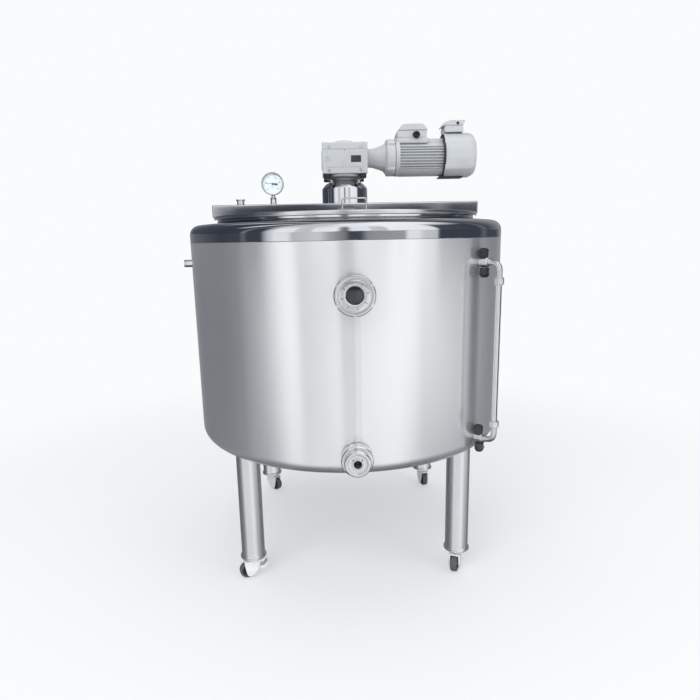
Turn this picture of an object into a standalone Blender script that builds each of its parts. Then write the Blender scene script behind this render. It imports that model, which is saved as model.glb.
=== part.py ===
"""Bulk milk tank: a jacketed steel vessel on four caster legs with a geared agitator on its bridge.

Metres, +Z up. The origin is on the floor, on the tank's vertical axis. The front, with the
sight port and the outlet, faces -Y, and the bridge that carries the drive lies along X.
"""
import math

import bmesh
import bpy
from mathutils import Matrix, Vector

# ---- gaps -------------------------------------------------------------------------------
GAP = 0.0003                 # between pieces that touch
SHELL_STEPS = 40             # facets round every nested shell, so that their gaps stay even

# ---- jacketed tank ----------------------------------------------------------------------
TANK_R = 0.540               # outer radius of the cladding
TANK_BOTTOM = 0.428
SEAM_Z = 1.104               # where the brushed cladding meets the polished collar
CLAD_WALL = 0.0025
CORNER_R = 0.040             # rounding between the wall and the underside
SHOULDER_Z = 1.160
SHOULDER_R = 0.032
NECK_R = 0.446
NECK_LIP_R = 0.432
NECK_BASE_Z = 1.166
NECK_TOP_Z = 1.1845
NECK_WALL = 0.003
VESSEL_R = 0.4426
VESSEL_WALL = 0.003
VESSEL_BOTTOM = 0.458
VESSEL_TOP = 1.1812
JACKET_R = 0.487
JACKET_WALL = 0.0025
JACKET_BOTTOM = 0.443
JACKET_TOP = 1.094
FOAM_TOP = SEAM_Z - 0.001

# ---- bridge and lids --------------------------------------------------------------------
BRIDGE_HALF_X = 0.452
BRIDGE_HALF_Y = 0.095
BRIDGE_BOTTOM = 1.185
BRIDGE_TOP = 1.227
BRIDGE_WALL = 0.0025
BRIDGE_BORE_R = 0.030
LID_R = 0.457
LID_TOP = 1.188
LID_PLATE = 0.003
LID_SKIRT_Z = 1.176
LID_SKIRT_WALL = 0.002
LID_EDGE_Y = 0.1045
HINGE_Y = 0.104
HINGE_Z = 1.195
HINGE_KNUCKLE_R = 0.0065
HINGE_BORE_R = 0.00335
HINGE_ROD_R = 0.003
HINGE_ROD_HALF = 0.275
HINGE_X = 0.247              # where the lid's knuckle meets the bridge's lug
HINGE_KNUCKLE_W = 0.014
SILL_Y = 0.1035              # the bridge's folded foot reaches this far under the hinge line
SILL_HALF_X = 0.440
HANDLE_X = 0.012
HANDLE_HALF = 0.0345
HANDLE_Y = 0.400
HANDLE_TOP = 1.222
HANDLE_R = 0.0025

# ---- drive ------------------------------------------------------------------------------
LANTERN_R = 0.080
LANTERN_WALL = 0.003
LANTERN_TOP = 1.3005
LANTERN_ROUND = 0.026
SHAFT_R = 0.015
BORE_R = 0.0153
SHAFT_JOINT_Z = 1.266        # where the gearbox shaft meets the agitator shaft
SHAFT_FOOT_Z = 0.595
FLANGE_HALF = 0.077
FLANGE_BOTTOM = 1.3075
FLANGE_TOP = 1.3247
BOX_HALF_X = 0.077
BOX_HALF_Y = 0.075
BOX_BOTTOM = 1.325
BOX_TOP = 1.426
BOX_WALL = 0.008
CAP_R = 0.042
MOTOR_Z = 1.382              # height of the motor's axis
ADAPTER_END = 0.1747
FRAME_START = 0.175
FRAME_END = 0.350
FRAME_R = 0.057
FIN_R = 0.063
FRAME_BORE_R = 0.0385
COWL_R = 0.075
COWL_START = 0.3435
COWL_END = 0.455
COWL_WALL = 0.0025

# ---- ports ------------------------------------------------------------------------------
SIGHT_Z = 0.960
OUTLET_Z = 0.489
STUB_Z = 1.032
GAUGE_ANGLE = math.radians(-45.0)
GAUGE_TOP_Z = 1.033
GAUGE_LOW_Z = 0.485
GAUGE_TUBE_R = 0.610         # the glass tube's distance from the tank's axis
PIPE_R = 0.009
ELBOW_R = 0.030

# ---- thermometer and vent ---------------------------------------------------------------
DIAL_X = -0.249
DIAL_Z = 1.297
DIAL_R = 0.038
DIAL_FRONT = 0.056
STEM_Y = -0.041
VENT_X = -0.368

# ---- legs and casters -------------------------------------------------------------------
LEG_XY = 0.343
LEG_R = 0.038
LEG_WALL = 0.002
LEG_BOTTOM = 0.075
LEG_PLATE = 0.008
LEG_FOOT_R = 0.0425          # the flange at the leg's foot
WHEEL_R = 0.027
WHEEL_W = 0.022
TRAIL = 0.022                # how far the wheel trails behind the swivel axis
CHEEK_Y = 0.0135             # inner side of each fork cheek
CHEEK_T = 0.0025
AXLE_R = 0.0043
PEDAL_AXIS = (-0.011, 0.0315)
CASTER_YAW = {"front_left": 198.0, "front_right": 247.0, "rear_left": 322.0, "rear_right": 280.0}


# ---- tools ------------------------------------------------------------------------------
def clear_scene():
    for item in list(bpy.data.objects):
        bpy.data.objects.remove(item, do_unlink=True)


def new_collection(name):
    group = bpy.data.collections.new(name)
    bpy.context.scene.collection.children.link(group)
    return group


def paint(name, colour, roughness, metallic, alpha=1.0):
    """A plain Principled material."""
    mat = bpy.data.materials.new(name)
    mat.use_nodes = True
    shader = mat.node_tree.nodes["Principled BSDF"]
    shader.inputs["Base Color"].default_value = (*colour, 1.0)
    shader.inputs["Roughness"].default_value = roughness
    shader.inputs["Metallic"].default_value = metallic
    shader.inputs["Alpha"].default_value = alpha
    return mat


def add_object(name, data, mat, at=(0.0, 0.0, 0.0), cutter=False):
    """Links a mesh or curve as a sub-part, or as a hidden cutter."""
    item = bpy.data.objects.new(name, data)
    item.location = at
    (CUTTERS if cutter else PARTS).objects.link(item)
    if cutter:
        item.hide_render = True
        item.display_type = "WIRE"
    else:
        data.materials.append(mat)
    return item


def turned(name, profile, mat, steps=24, axis=(0, 0, 1), at=(0, 0, 0), loop=True, cutter=False):
    """Turns (radius, height) points about axis: a ring where loop is true, else a solid on the axis."""
    mesh = bpy.data.meshes.new(name)
    count = len(profile)
    edges = [(i, i + 1) for i in range(count - 1)]
    if loop:
        edges.append((count - 1, 0))
    mesh.from_pydata([(r, 0.0, z) for r, z in profile], edges, [])
    item = add_object(name, mesh, mat, at, cutter)
    item.rotation_euler = Vector((0, 0, 1)).rotation_difference(Vector(axis)).to_euler()
    screw = item.modifiers.new("turn", "SCREW")
    screw.steps = steps
    screw.render_steps = steps
    screw.use_merge_vertices = True
    screw.merge_threshold = 0.00001
    return item


def arc(centre, radius, start, end, count):
    """Points of an arc in a profile, angles in degrees, both ends included."""
    points = []
    for i in range(count + 1):
        angle = math.radians(start + (end - start) * i / count)
        points.append((centre[0] + radius * math.cos(angle), centre[1] + radius * math.sin(angle)))
    return points


def block(name, low, high, mat, bevel=0.0, segments=2, cutter=False):
    """A box between two corners, with rounded edges where bevel is given."""
    low = Vector(low)
    high = Vector(high)
    middle = (low + high) / 2
    mesh = bpy.data.meshes.new(name)
    bm = bmesh.new()
    bmesh.ops.create_cube(bm, size=1.0, matrix=Matrix.Diagonal((*(high - low), 1.0)))
    bm.to_mesh(mesh)
    bm.free()
    item = add_object(name, mesh, mat, middle, cutter)
    if bevel:
        soft = item.modifiers.new("edges", "BEVEL")
        soft.width = bevel
        soft.segments = segments
    return item


def rod(name, start, end, radius, mat=None, sides=24, cutter=False):
    """A straight round bar between two points."""
    start = Vector(start)
    end = Vector(end)
    length = (end - start).length
    mesh = bpy.data.meshes.new(name)
    bm = bmesh.new()
    bmesh.ops.create_cone(bm, cap_ends=True, segments=sides, radius1=radius, radius2=radius,
                          depth=length)
    bm.to_mesh(mesh)
    bm.free()
    item = add_object(name, mesh, mat, (start + end) / 2, cutter)
    item.rotation_euler = Vector((0, 0, 1)).rotation_difference(end - start).to_euler()
    return item


def bent_bar(name, points, radius, mat, smoothness=2, cutter=False):
    """A round bar along a path, as a mesh."""
    curve = bpy.data.curves.new(name, "CURVE")
    curve.dimensions = "3D"
    curve.bevel_depth = radius
    curve.bevel_resolution = smoothness
    curve.use_fill_caps = True
    spline = curve.splines.new("POLY")
    spline.points.add(len(points) - 1)
    for point, place in zip(spline.points, points):
        point.co = (*place, 1.0)
    guide = bpy.data.objects.new(name + "_path", curve)
    PARTS.objects.link(guide)
    return curve_to_mesh(name, guide, mat, cutter)


def prism(name, outline, low, high, mat, along="Y", hole=None, cutter=False):
    """A flat outline given a thickness, from low to high along Y or X, as a mesh.

    The outline is in (X, Z) where it runs along Y, and in (Y, Z) where it runs along X.
    """
    curve = bpy.data.curves.new(name, "CURVE")
    curve.dimensions = "2D"
    curve.fill_mode = "BOTH"
    curve.extrude = (high - low) / 2
    for ring in [outline] + ([hole] if hole else []):
        spline = curve.splines.new("POLY")
        spline.points.add(len(ring) - 1)
        for point, (a, b) in zip(spline.points, ring):
            point.co = (a, b, 0.0, 1.0)
        spline.use_cyclic_u = True
    guide = bpy.data.objects.new(name + "_outline", curve)
    PARTS.objects.link(guide)
    middle = (low + high) / 2
    if along == "Y":
        columns = ((1, 0, 0), (0, 0, 1), (0, -1, 0))
        guide.location = (0, middle, 0)
    else:
        columns = ((0, 1, 0), (0, 0, 1), (1, 0, 0))
        guide.location = (middle, 0, 0)
    guide.rotation_euler = Matrix(columns).transposed().to_euler()
    return curve_to_mesh(name, guide, mat, cutter)


def curve_to_mesh(name, guide, mat, cutter):
    """Replaces a curve object by a welded mesh object in the same place."""
    bpy.context.view_layer.update()
    solid = guide.evaluated_get(bpy.context.evaluated_depsgraph_get())
    mesh = bpy.data.meshes.new_from_object(solid)
    mesh.name = name
    bm = bmesh.new()
    bm.from_mesh(mesh)
    bmesh.ops.remove_doubles(bm, verts=bm.verts, dist=0.000005)
    bm.to_mesh(mesh)
    bm.free()
    mesh.materials.clear()
    item = add_object(name, mesh, mat, cutter=cutter)
    item.matrix_world = guide.matrix_world
    bpy.data.objects.remove(guide, do_unlink=True)
    return item


def boolean(item, tool, operation):
    step = item.modifiers.new(tool.name, "BOOLEAN")
    step.operation = operation
    step.solver = "EXACT"
    step.object = tool
    return item


def cut(item, *tools):
    for tool in tools:
        boolean(item, tool, "DIFFERENCE")
    return item


def join(item, *tools):
    for tool in tools:
        boolean(item, tool, "UNION")
    return item


def smooth(item, angle=35.0):
    item.data.shade_smooth()
    item.data.set_sharp_from_angle(angle=math.radians(angle))


def pivot(name, at, children, yaw=0.0, keep_place=True):
    """An empty on a joint's axis that carries the moving pieces."""
    frame = bpy.data.objects.new(name, None)
    frame.empty_display_size = 0.05
    frame.location = at
    frame.rotation_euler = (0, 0, yaw)
    PARTS.objects.link(frame)
    bpy.context.view_layer.update()
    for child in children:
        child.parent = frame
        if keep_place:
            child.matrix_parent_inverse = frame.matrix_world.inverted()
    return frame


def radial(distance, z, angle=GAUGE_ANGLE):
    """A point at a distance from the tank's axis in the gauge's direction."""
    return Vector((distance * math.cos(angle), distance * math.sin(angle), z))


# ---- tank -------------------------------------------------------------------------------
def wall_openings():
    """Cutters for everything that passes through the cladding, foam and jacket."""
    inner = VESSEL_R - 0.02
    outer = TANK_R + 0.02
    through = [
        rod("sight_opening", (0, -inner, SIGHT_Z), (0, -outer, SIGHT_Z), 0.0353, cutter=True),
        rod("outlet_opening", (0, -inner, OUTLET_Z), (0, -outer, OUTLET_Z), 0.0273, cutter=True),
    ]
    jacket_only = [
        rod("stub_opening", (-0.470, 0, STUB_Z), (-outer, 0, STUB_Z), 0.0138, sides=16, cutter=True),
    ]
    for label, z in (("upper", GAUGE_TOP_Z), ("lower", GAUGE_LOW_Z)):
        jacket_only.append(rod(f"gauge_opening_{label}", radial(0.470, z), radial(outer, z),
                               PIPE_R + GAP * 2, sides=16, cutter=True))
    return through, jacket_only


def clad_outline(offset, top):
    """Outer side of the cladding, moved outwards by offset, from top down to the axis."""
    corner = arc((TANK_R - CORNER_R, TANK_BOTTOM + CORNER_R), CORNER_R + offset, 0, -90, 4)
    return [(TANK_R + offset, top)] + corner + [(0.0, TANK_BOTTOM - offset)]


def shells(through, jacket_only):
    steel = paint("brushed_steel", (0.62, 0.63, 0.64), 0.30, 1.0)
    mirror = paint("polished_steel", (0.75, 0.76, 0.78), 0.06, 1.0)
    inside = paint("vessel_steel", (0.66, 0.67, 0.68), 0.25, 1.0)
    foam_paint = paint("foam", (0.78, 0.70, 0.45), 0.9, 0.0)

    top = SEAM_Z - GAP
    cladding = turned("outer_shell", clad_outline(-CLAD_WALL, top)[::-1] + clad_outline(0.0, top),
                      steel, SHELL_STEPS, loop=False)
    foam_inner = [(JACKET_R + GAP, FOAM_TOP), (JACKET_R + GAP, JACKET_BOTTOM - GAP),
                  (0.0, JACKET_BOTTOM - GAP)]
    foam = turned("foam_insulation",
                  foam_inner[::-1] + clad_outline(-CLAD_WALL - GAP, FOAM_TOP),
                  foam_paint, SHELL_STEPS, loop=False)
    lid_r = VESSEL_R + GAP * 2
    jacket = turned("jacket_wall", [
        (0.0, JACKET_BOTTOM + JACKET_WALL), (JACKET_R - JACKET_WALL, JACKET_BOTTOM + JACKET_WALL),
        (JACKET_R - JACKET_WALL, JACKET_TOP - JACKET_WALL), (lid_r, JACKET_TOP - JACKET_WALL),
        (lid_r, JACKET_TOP), (JACKET_R, JACKET_TOP), (JACKET_R, JACKET_BOTTOM),
        (0.0, JACKET_BOTTOM)], inside, SHELL_STEPS, loop=False)
    fold = 0.008
    vessel = turned("inner_vessel", [
        (0.0, VESSEL_BOTTOM + VESSEL_WALL),
        (VESSEL_R - VESSEL_WALL - fold, VESSEL_BOTTOM + VESSEL_WALL),
        (VESSEL_R - VESSEL_WALL, VESSEL_BOTTOM + VESSEL_WALL + fold),
        (VESSEL_R - VESSEL_WALL, VESSEL_TOP), (VESSEL_R, VESSEL_TOP),
        (VESSEL_R, VESSEL_BOTTOM + fold), (VESSEL_R - fold, VESSEL_BOTTOM),
        (0.0, VESSEL_BOTTOM)], inside, SHELL_STEPS, loop=False)
    round_centre = (TANK_R - SHOULDER_R, SHOULDER_Z - SHOULDER_R)
    outer_round = arc(round_centre, SHOULDER_R, 84, 0, 4)
    inner_round = arc(round_centre, SHOULDER_R - NECK_WALL, 0, 84, 4)
    collar = turned("top_collar", [
        (NECK_LIP_R, NECK_TOP_Z), (NECK_R, NECK_TOP_Z), (NECK_R, NECK_BASE_Z)] + outer_round + [
        (TANK_R, SEAM_Z), (TANK_R - NECK_WALL, SEAM_Z)] + inner_round + [
        (NECK_R - NECK_WALL, NECK_BASE_Z - NECK_WALL),
        (NECK_R - NECK_WALL, NECK_TOP_Z - NECK_WALL), (NECK_LIP_R, NECK_TOP_Z - NECK_WALL)],
        mirror, SHELL_STEPS)
    for shell in (cladding, foam, jacket):
        cut(shell, *through, *jacket_only)
    cut(vessel, *through)
    for shell in (cladding, foam, jacket, vessel, collar):
        smooth(shell)


# ---- bridge and lids --------------------------------------------------------------------
def knuckle(name, side, x_low, reach, z_low, z_high):
    """Hinge barrel with its tab: reach is the tab's far Y, counted from the tank's axis."""
    y = side * HINGE_Y
    barrel = rod(name + "_barrel", (x_low, y, HINGE_Z), (x_low + HINGE_KNUCKLE_W, y, HINGE_Z),
                 HINGE_KNUCKLE_R, sides=16, cutter=True)
    tab = block(name + "_tab", (x_low, min(y, side * reach), z_low),
                (x_low + HINGE_KNUCKLE_W, max(y, side * reach), z_high), None, cutter=True)
    return barrel, tab


def bridge(mat):
    beam = block("bridge_beam", (-BRIDGE_HALF_X, -BRIDGE_HALF_Y, BRIDGE_BOTTOM),
                 (BRIDGE_HALF_X, BRIDGE_HALF_Y, BRIDGE_TOP), mat)
    hollow = block("bridge_hollow",
                   (-BRIDGE_HALF_X + BRIDGE_WALL, -BRIDGE_HALF_Y + BRIDGE_WALL, BRIDGE_BOTTOM - 0.02),
                   (BRIDGE_HALF_X - BRIDGE_WALL, BRIDGE_HALF_Y - BRIDGE_WALL, BRIDGE_TOP - BRIDGE_WALL),
                   None, cutter=True)
    cut(beam, hollow)
    for side, label in ((-1, "front"), (1, "rear")):
        inner = side * (BRIDGE_HALF_Y - 0.001)
        outer = side * SILL_Y
        join(beam, block(f"sill_{label}", (-SILL_HALF_X, min(inner, outer), BRIDGE_BOTTOM + 0.0001),
                         (SILL_HALF_X, max(inner, outer), BRIDGE_BOTTOM + 0.0012), None, cutter=True))
    low = BRIDGE_TOP - 0.01
    high = BRIDGE_TOP + 0.01
    cut(beam, rod("shaft_bore", (0, 0, low), (0, 0, high), BRIDGE_BORE_R, cutter=True),
        rod("vent_bore", (VENT_X, 0, low), (VENT_X, 0, high), 0.0134, sides=16, cutter=True),
        rod("probe_bore", (DIAL_X, STEM_Y, low), (DIAL_X, STEM_Y, high), 0.0045, sides=12,
            cutter=True))
    for side, label in ((-1, "front"), (1, "rear")):
        for x in (-HINGE_X, HINGE_X - HINGE_KNUCKLE_W):
            x_low = x - math.copysign(GAP, x)
            barrel, tab = knuckle(f"lug_{label}_{'l' if x < 0 else 'r'}", side, x_low,
                                  BRIDGE_HALF_Y - 0.001, HINGE_Z - 0.0062, HINGE_Z + 0.0062)
            join(beam, barrel, tab)
        y = side * HINGE_Y
        cut(beam, rod(f"lug_bore_{label}", (-0.3, y, HINGE_Z), (0.3, y, HINGE_Z), HINGE_BORE_R,
                      sides=12, cutter=True))
    return beam


def lid(label, side, mat):
    """Half-round lid with a skirt, a wire handle and two hinge knuckles."""
    disc = turned(f"lid_{label}", [
        (0.0, LID_TOP), (LID_R - 0.002, LID_TOP), (LID_R, LID_TOP - 0.002), (LID_R, LID_SKIRT_Z),
        (LID_R - LID_SKIRT_WALL, LID_SKIRT_Z), (LID_R - LID_SKIRT_WALL, LID_TOP - LID_PLATE),
        (0.0, LID_TOP - LID_PLATE)], mat, SHELL_STEPS, loop=False)
    edge = side * LID_EDGE_Y
    half = block(f"lid_half_{label}", (-0.5, min(edge, -side * 0.5), LID_SKIRT_Z - 0.05),
                 (0.5, max(edge, -side * 0.5), LID_TOP + 0.05), None, cutter=True)
    cut(disc, half)
    y = side * HANDLE_Y
    foot = LID_TOP - LID_PLATE / 2
    left = HANDLE_X - HANDLE_HALF
    right = HANDLE_X + HANDLE_HALF
    bend = 0.008
    wire = [(left, y, foot), (left, y, HANDLE_TOP - bend), (left + bend, y, HANDLE_TOP),
            (right - bend, y, HANDLE_TOP), (right, y, HANDLE_TOP - bend), (right, y, foot)]
    join(disc, bent_bar(f"handle_wire_{label}", wire, HANDLE_R, None, 1, cutter=True))
    for x in (-HINGE_X - HINGE_KNUCKLE_W, HINGE_X):
        barrel, tab = knuckle(f"lid_knuckle_{label}_{'l' if x < 0 else 'r'}", side, x, 0.128,
                              LID_TOP - 0.0015, LID_TOP + 0.0045)
        join(disc, barrel, tab)
    hinge_y = side * HINGE_Y
    cut(disc, rod(f"lid_bore_{label}", (-0.3, hinge_y, HINGE_Z), (0.3, hinge_y, HINGE_Z),
                  HINGE_BORE_R, sides=12, cutter=True))
    smooth(disc)
    pivot(f"lid_{label}_axis", (0, hinge_y, HINGE_Z), [disc])
    rod(f"hinge_rod_{label}", (-HINGE_ROD_HALF, hinge_y, HINGE_Z),
        (HINGE_ROD_HALF, hinge_y, HINGE_Z), HINGE_ROD_R, mat, 12)


# ---- agitator and gearbox ---------------------------------------------------------------
def agitator(steel, rubber):
    turned("shaft_seal", [
        (BORE_R, 1.236), (0.045, 1.236), (0.045, BRIDGE_TOP + GAP),
        (BRIDGE_BORE_R - GAP, BRIDGE_TOP + GAP), (BRIDGE_BORE_R - GAP, 1.212), (BORE_R, 1.212)],
        rubber, 24)
    shaft = turned("agitator_shaft", [
        (0.0, SHAFT_JOINT_Z - GAP), (SHAFT_R, SHAFT_JOINT_Z - GAP), (SHAFT_R, SHAFT_FOOT_Z),
        (SHAFT_R - 0.003, SHAFT_FOOT_Z - 0.003), (0.0, SHAFT_FOOT_Z - 0.003)], steel, 24, loop=False)
    smooth(shaft)
    turned("shaft_coupling", [
        (BORE_R, 1.290), (0.027, 1.290), (0.027, 1.244), (BORE_R, 1.244)], steel, 24)
    hub = turned("agitator_paddle", [(BORE_R, 0.660), (0.026, 0.660), (0.026, 0.602), (BORE_R, 0.602)],
                 steel, 24)
    for i, turn in enumerate((0.0, math.pi)):
        blade = block(f"blade_{i}", (0.021, -0.035, -0.0025), (0.240, 0.035, 0.0025), None,
                      cutter=True)
        lean = Matrix.Rotation(math.radians(45), 4, "X")
        blade.matrix_world = (Matrix.Translation((0, 0, 0.631)) @ Matrix.Rotation(turn, 4, "Z")
                              @ lean @ Matrix.Translation(blade.location))
        join(hub, blade)


def gearbox(mat, dark, steel):
    lantern_round = arc((LANTERN_R - LANTERN_ROUND, LANTERN_TOP - LANTERN_ROUND), LANTERN_ROUND,
                        90, 0, 3)
    inner_round = arc((LANTERN_R - LANTERN_ROUND, LANTERN_TOP - LANTERN_ROUND),
                      LANTERN_ROUND - LANTERN_WALL, 0, 90, 3)
    lantern = turned("lantern_stand", [(BRIDGE_BORE_R, LANTERN_TOP)] + lantern_round + [
        (LANTERN_R, BRIDGE_TOP + GAP), (LANTERN_R - LANTERN_WALL, BRIDGE_TOP + GAP)] + inner_round + [
        (BRIDGE_BORE_R, LANTERN_TOP - LANTERN_WALL)], steel, 28)
    smooth(lantern)
    plate = block("drive_flange", (-FLANGE_HALF, -FLANGE_HALF, FLANGE_BOTTOM),
                  (FLANGE_HALF, FLANGE_HALF, FLANGE_TOP), dark, 0.006, 2)
    join(plate, rod("flange_neck", (0, 0, LANTERN_TOP + GAP), (0, 0, FLANGE_BOTTOM + 0.004), 0.045,
                    cutter=True))
    cut(plate, rod("flange_bore", (0, 0, 1.29), (0, 0, 1.34), 0.017, cutter=True))
    housing = block("gearbox_housing", (-BOX_HALF_X, -BOX_HALF_Y, BOX_BOTTOM),
                    (BOX_HALF_X, BOX_HALF_Y, BOX_TOP), mat, 0.005, 2)
    inside = block("gearbox_hollow",
                   (-BOX_HALF_X + BOX_WALL, -BOX_HALF_Y + BOX_WALL, BOX_BOTTOM + BOX_WALL),
                   (BOX_HALF_X - BOX_WALL, BOX_HALF_Y - BOX_WALL, BOX_TOP - BOX_WALL), None,
                   cutter=True)
    cut(housing, inside,
        rod("output_bore", (0, 0, BOX_BOTTOM - 0.01), (0, 0, BOX_BOTTOM + 0.02), 0.030, cutter=True),
        rod("cap_bore", (0, 0, BOX_TOP - 0.02), (0, 0, BOX_TOP + 0.01), 0.036, cutter=True),
        rod("input_bore", (BOX_HALF_X - 0.02, 0, MOTOR_Z), (BOX_HALF_X + 0.01, 0, MOTOR_Z), 0.026,
            cutter=True))
    cap = turned("gearbox_cap", [
        (0.0, 1.4380), (0.018, 1.4370), (0.034, 1.4337), (CAP_R, 1.4300), (CAP_R, BOX_TOP + GAP),
        (0.0, BOX_TOP + GAP)], mat, 24, loop=False)
    smooth(cap)
    turned("output_shaft", [
        (0.0, 1.410), (SHAFT_R, 1.410), (SHAFT_R, SHAFT_JOINT_Z + GAP), (0.0, SHAFT_JOINT_Z + GAP)],
        steel, 24, loop=False)
    turned("crown_gear", [
        (BORE_R, 1.3700), (0.036, 1.3700), (0.0375, 1.3745), (0.050, 1.3705), (0.050, 1.3620),
        (0.026, 1.3520), (BORE_R, 1.3520)], steel, 20)
    turned("bevel_pinion", [
        (0.0, 0.1205), (0.010, 0.1205), (0.010, 0.056), (0.0070, 0.053), (0.0060, 0.036),
        (0.0, 0.036)], steel, 16, (1, 0, 0), (0, 0, MOTOR_Z), loop=False)


# ---- motor ------------------------------------------------------------------------------
def fin_outline():
    """Finned cross-section of the motor frame in (Y, Z) about its axis, flat on top."""
    points = []
    count = 28
    half_fin = 0.22
    for i in range(count):
        middle = 2 * math.pi * (i + 0.5) / count
        step = 2 * math.pi / count
        for offset, radius in ((-0.5 + half_fin, FRAME_R), (-half_fin, FIN_R), (half_fin, FIN_R),
                               (0.5 - half_fin, FRAME_R)):
            angle = middle + offset * step
            y = radius * math.cos(angle)
            z = min(radius * math.sin(angle), 0.060)
            points.append((y, MOTOR_Z + z))
    return points


def circle(radius, z, count=24):
    return [(radius * math.cos(2 * math.pi * i / count), z + radius * math.sin(2 * math.pi * i / count))
            for i in range(count)]


def motor(mat, dark, steel):
    adapter = turned("motor_adapter", [
        (0.0125, ADAPTER_END), (0.062, ADAPTER_END), (0.062, 0.147), (0.058, 0.142),
        (0.046, 0.1415), (0.037, 0.118), (0.031, 0.096), (0.030, BOX_HALF_X + GAP),
        (0.0125, BOX_HALF_X + GAP)], mat, 24, (1, 0, 0), (0, 0, MOTOR_Z))
    smooth(adapter)
    frame = prism("motor_frame", fin_outline(), FRAME_START, FRAME_END, mat, "X",
                  circle(FRAME_BORE_R, MOTOR_Z))
    smooth(frame, 20)
    turned("motor_rotor", [
        (0.0, 0.356), (0.012, 0.356), (0.012, 0.320), (0.038, 0.320), (0.038, 0.200),
        (0.012, 0.200), (0.012, 0.121), (0.0, 0.121)], steel, 24, (1, 0, 0), (0, 0, MOTOR_Z),
        loop=False)
    cowl = turned("fan_cowl", [
        (0.0, COWL_END), (0.050, COWL_END), (0.066, COWL_END - 0.005), (COWL_R, COWL_END - 0.019),
        (COWL_R, COWL_START), (0.0645, COWL_START), (0.0645, COWL_START + COWL_WALL),
        (COWL_R - COWL_WALL, COWL_START + COWL_WALL), (COWL_R - COWL_WALL, COWL_END - 0.020),
        (0.0645, COWL_END - 0.0070), (0.0495, COWL_END - COWL_WALL), (0.0, COWL_END - COWL_WALL)],
        mat, 24, (1, 0, 0), (0, 0, MOTOR_Z), loop=False)
    smooth(cowl)
    turned("fan_motor", [
        (0.0, 0.440), (0.025, 0.440), (0.025, 0.392), (0.005, 0.392), (0.005, 0.362),
        (0.0, 0.362)], dark, 20, (1, 0, 0), (0, 0, MOTOR_Z), loop=False)
    fan = turned("cooling_fan", [(0.0053, 0.386), (0.017, 0.386), (0.017, 0.364), (0.0053, 0.364)],
                 dark, 20, (1, 0, 0), (0, 0, MOTOR_Z))
    for i in range(6):
        blade = block(f"fan_blade_{i}", (-0.010, -0.001, 0.014), (0.010, 0.001, 0.060), None,
                      cutter=True)
        turn = Matrix.Rotation(2 * math.pi * i / 6, 4, "X")
        blade.matrix_world = (Matrix.Translation((0.375, 0, MOTOR_Z)) @ turn
                              @ Matrix.Translation(blade.location)
                              @ Matrix.Rotation(math.radians(30), 4, "Z"))
        join(fan, blade)
    box = (arc((0.206, 1.4635), 0.024, 180, 90, 4) + arc((0.272, 1.4755), 0.012, 90, 0, 3)
           + [(0.284, 1.4423), (0.182, 1.4423)])
    prism("terminal_box", box, -0.045, 0.045, mat)
    turned("cable_gland", [
        (0.006, 0.062), (0.010, 0.062), (0.0120, 0.058), (0.0120, 0.0453), (0.006, 0.0453)],
        dark, 16, (0, -1, 0), (0.246, 0, 1.450))
    small = [(0.345, 1.4575), (0.345, 1.480), (0.338, 1.480), (0.338, 1.485), (0.364, 1.499),
             (0.418, 1.499), (0.418, 1.480), (0.411, 1.480), (0.411, 1.4575)]
    prism("fan_terminal_box", small, -0.035, 0.035, mat)


# ---- ports, thermometer and level gauge -------------------------------------------------
def ports(steel, glass):
    forward = (0, -1, 0)
    here = (0, 0, SIGHT_Z)
    turned("sight_port_body", [
        (0.033, 0.560), (0.043, 0.560), (0.043, 0.548), (0.035, 0.5475), (0.035, 0.434),
        (0.033, 0.434)], steel, 24, forward, here)
    turned("sight_glass", [(0.0, 0.5683), (0.042, 0.5683), (0.042, 0.5603), (0.0, 0.5603)], glass,
           24, forward, here, loop=False)
    turned("sight_port_nut", [
        (0.0245, 0.585), (0.045, 0.585), (0.0455, 0.582), (0.0470, 0.582), (0.0475, 0.585),
        (0.054, 0.585), (0.057, 0.582), (0.057, 0.552), (0.0435, 0.552), (0.0435, 0.5690),
        (0.0245, 0.5690)], steel, 28, forward, here)
    here = (0, 0, OUTLET_Z)
    turned("outlet_nozzle", [
        (0.025, 0.562), (0.036, 0.562), (0.036, 0.552), (0.027, 0.5515), (0.027, 0.434),
        (0.025, 0.434)], steel, 24, forward, here)
    turned("outlet_nut", [
        (0.0368, 0.575), (0.0435, 0.575), (0.0465, 0.572), (0.0465, 0.5445), (0.0275, 0.5445),
        (0.0275, 0.5512), (0.0368, 0.5512)], steel, 24, forward, here)
    turned("outlet_plug", [
        (0.0125, 0.597), (0.036, 0.597), (0.0385, 0.5945), (0.0385, 0.5757), (0.036, 0.5757),
        (0.036, 0.5623), (0.0125, 0.5623)], steel, 24, forward, here)
    turned("jacket_stub", [(0.011, 0.580), (0.0135, 0.580), (0.0135, 0.482), (0.011, 0.482)], steel,
           16, (-1, 0, 0), (0, 0, STUB_Z))
    turned("vent_stub", [
        (0.0115, 1.250), (0.016, 1.250), (0.016, 1.247), (0.0130, 1.245), (0.0130, 1.205),
        (0.0115, 1.205)], steel, 16, (0, 0, 1), (VENT_X, 0, 0))


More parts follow.
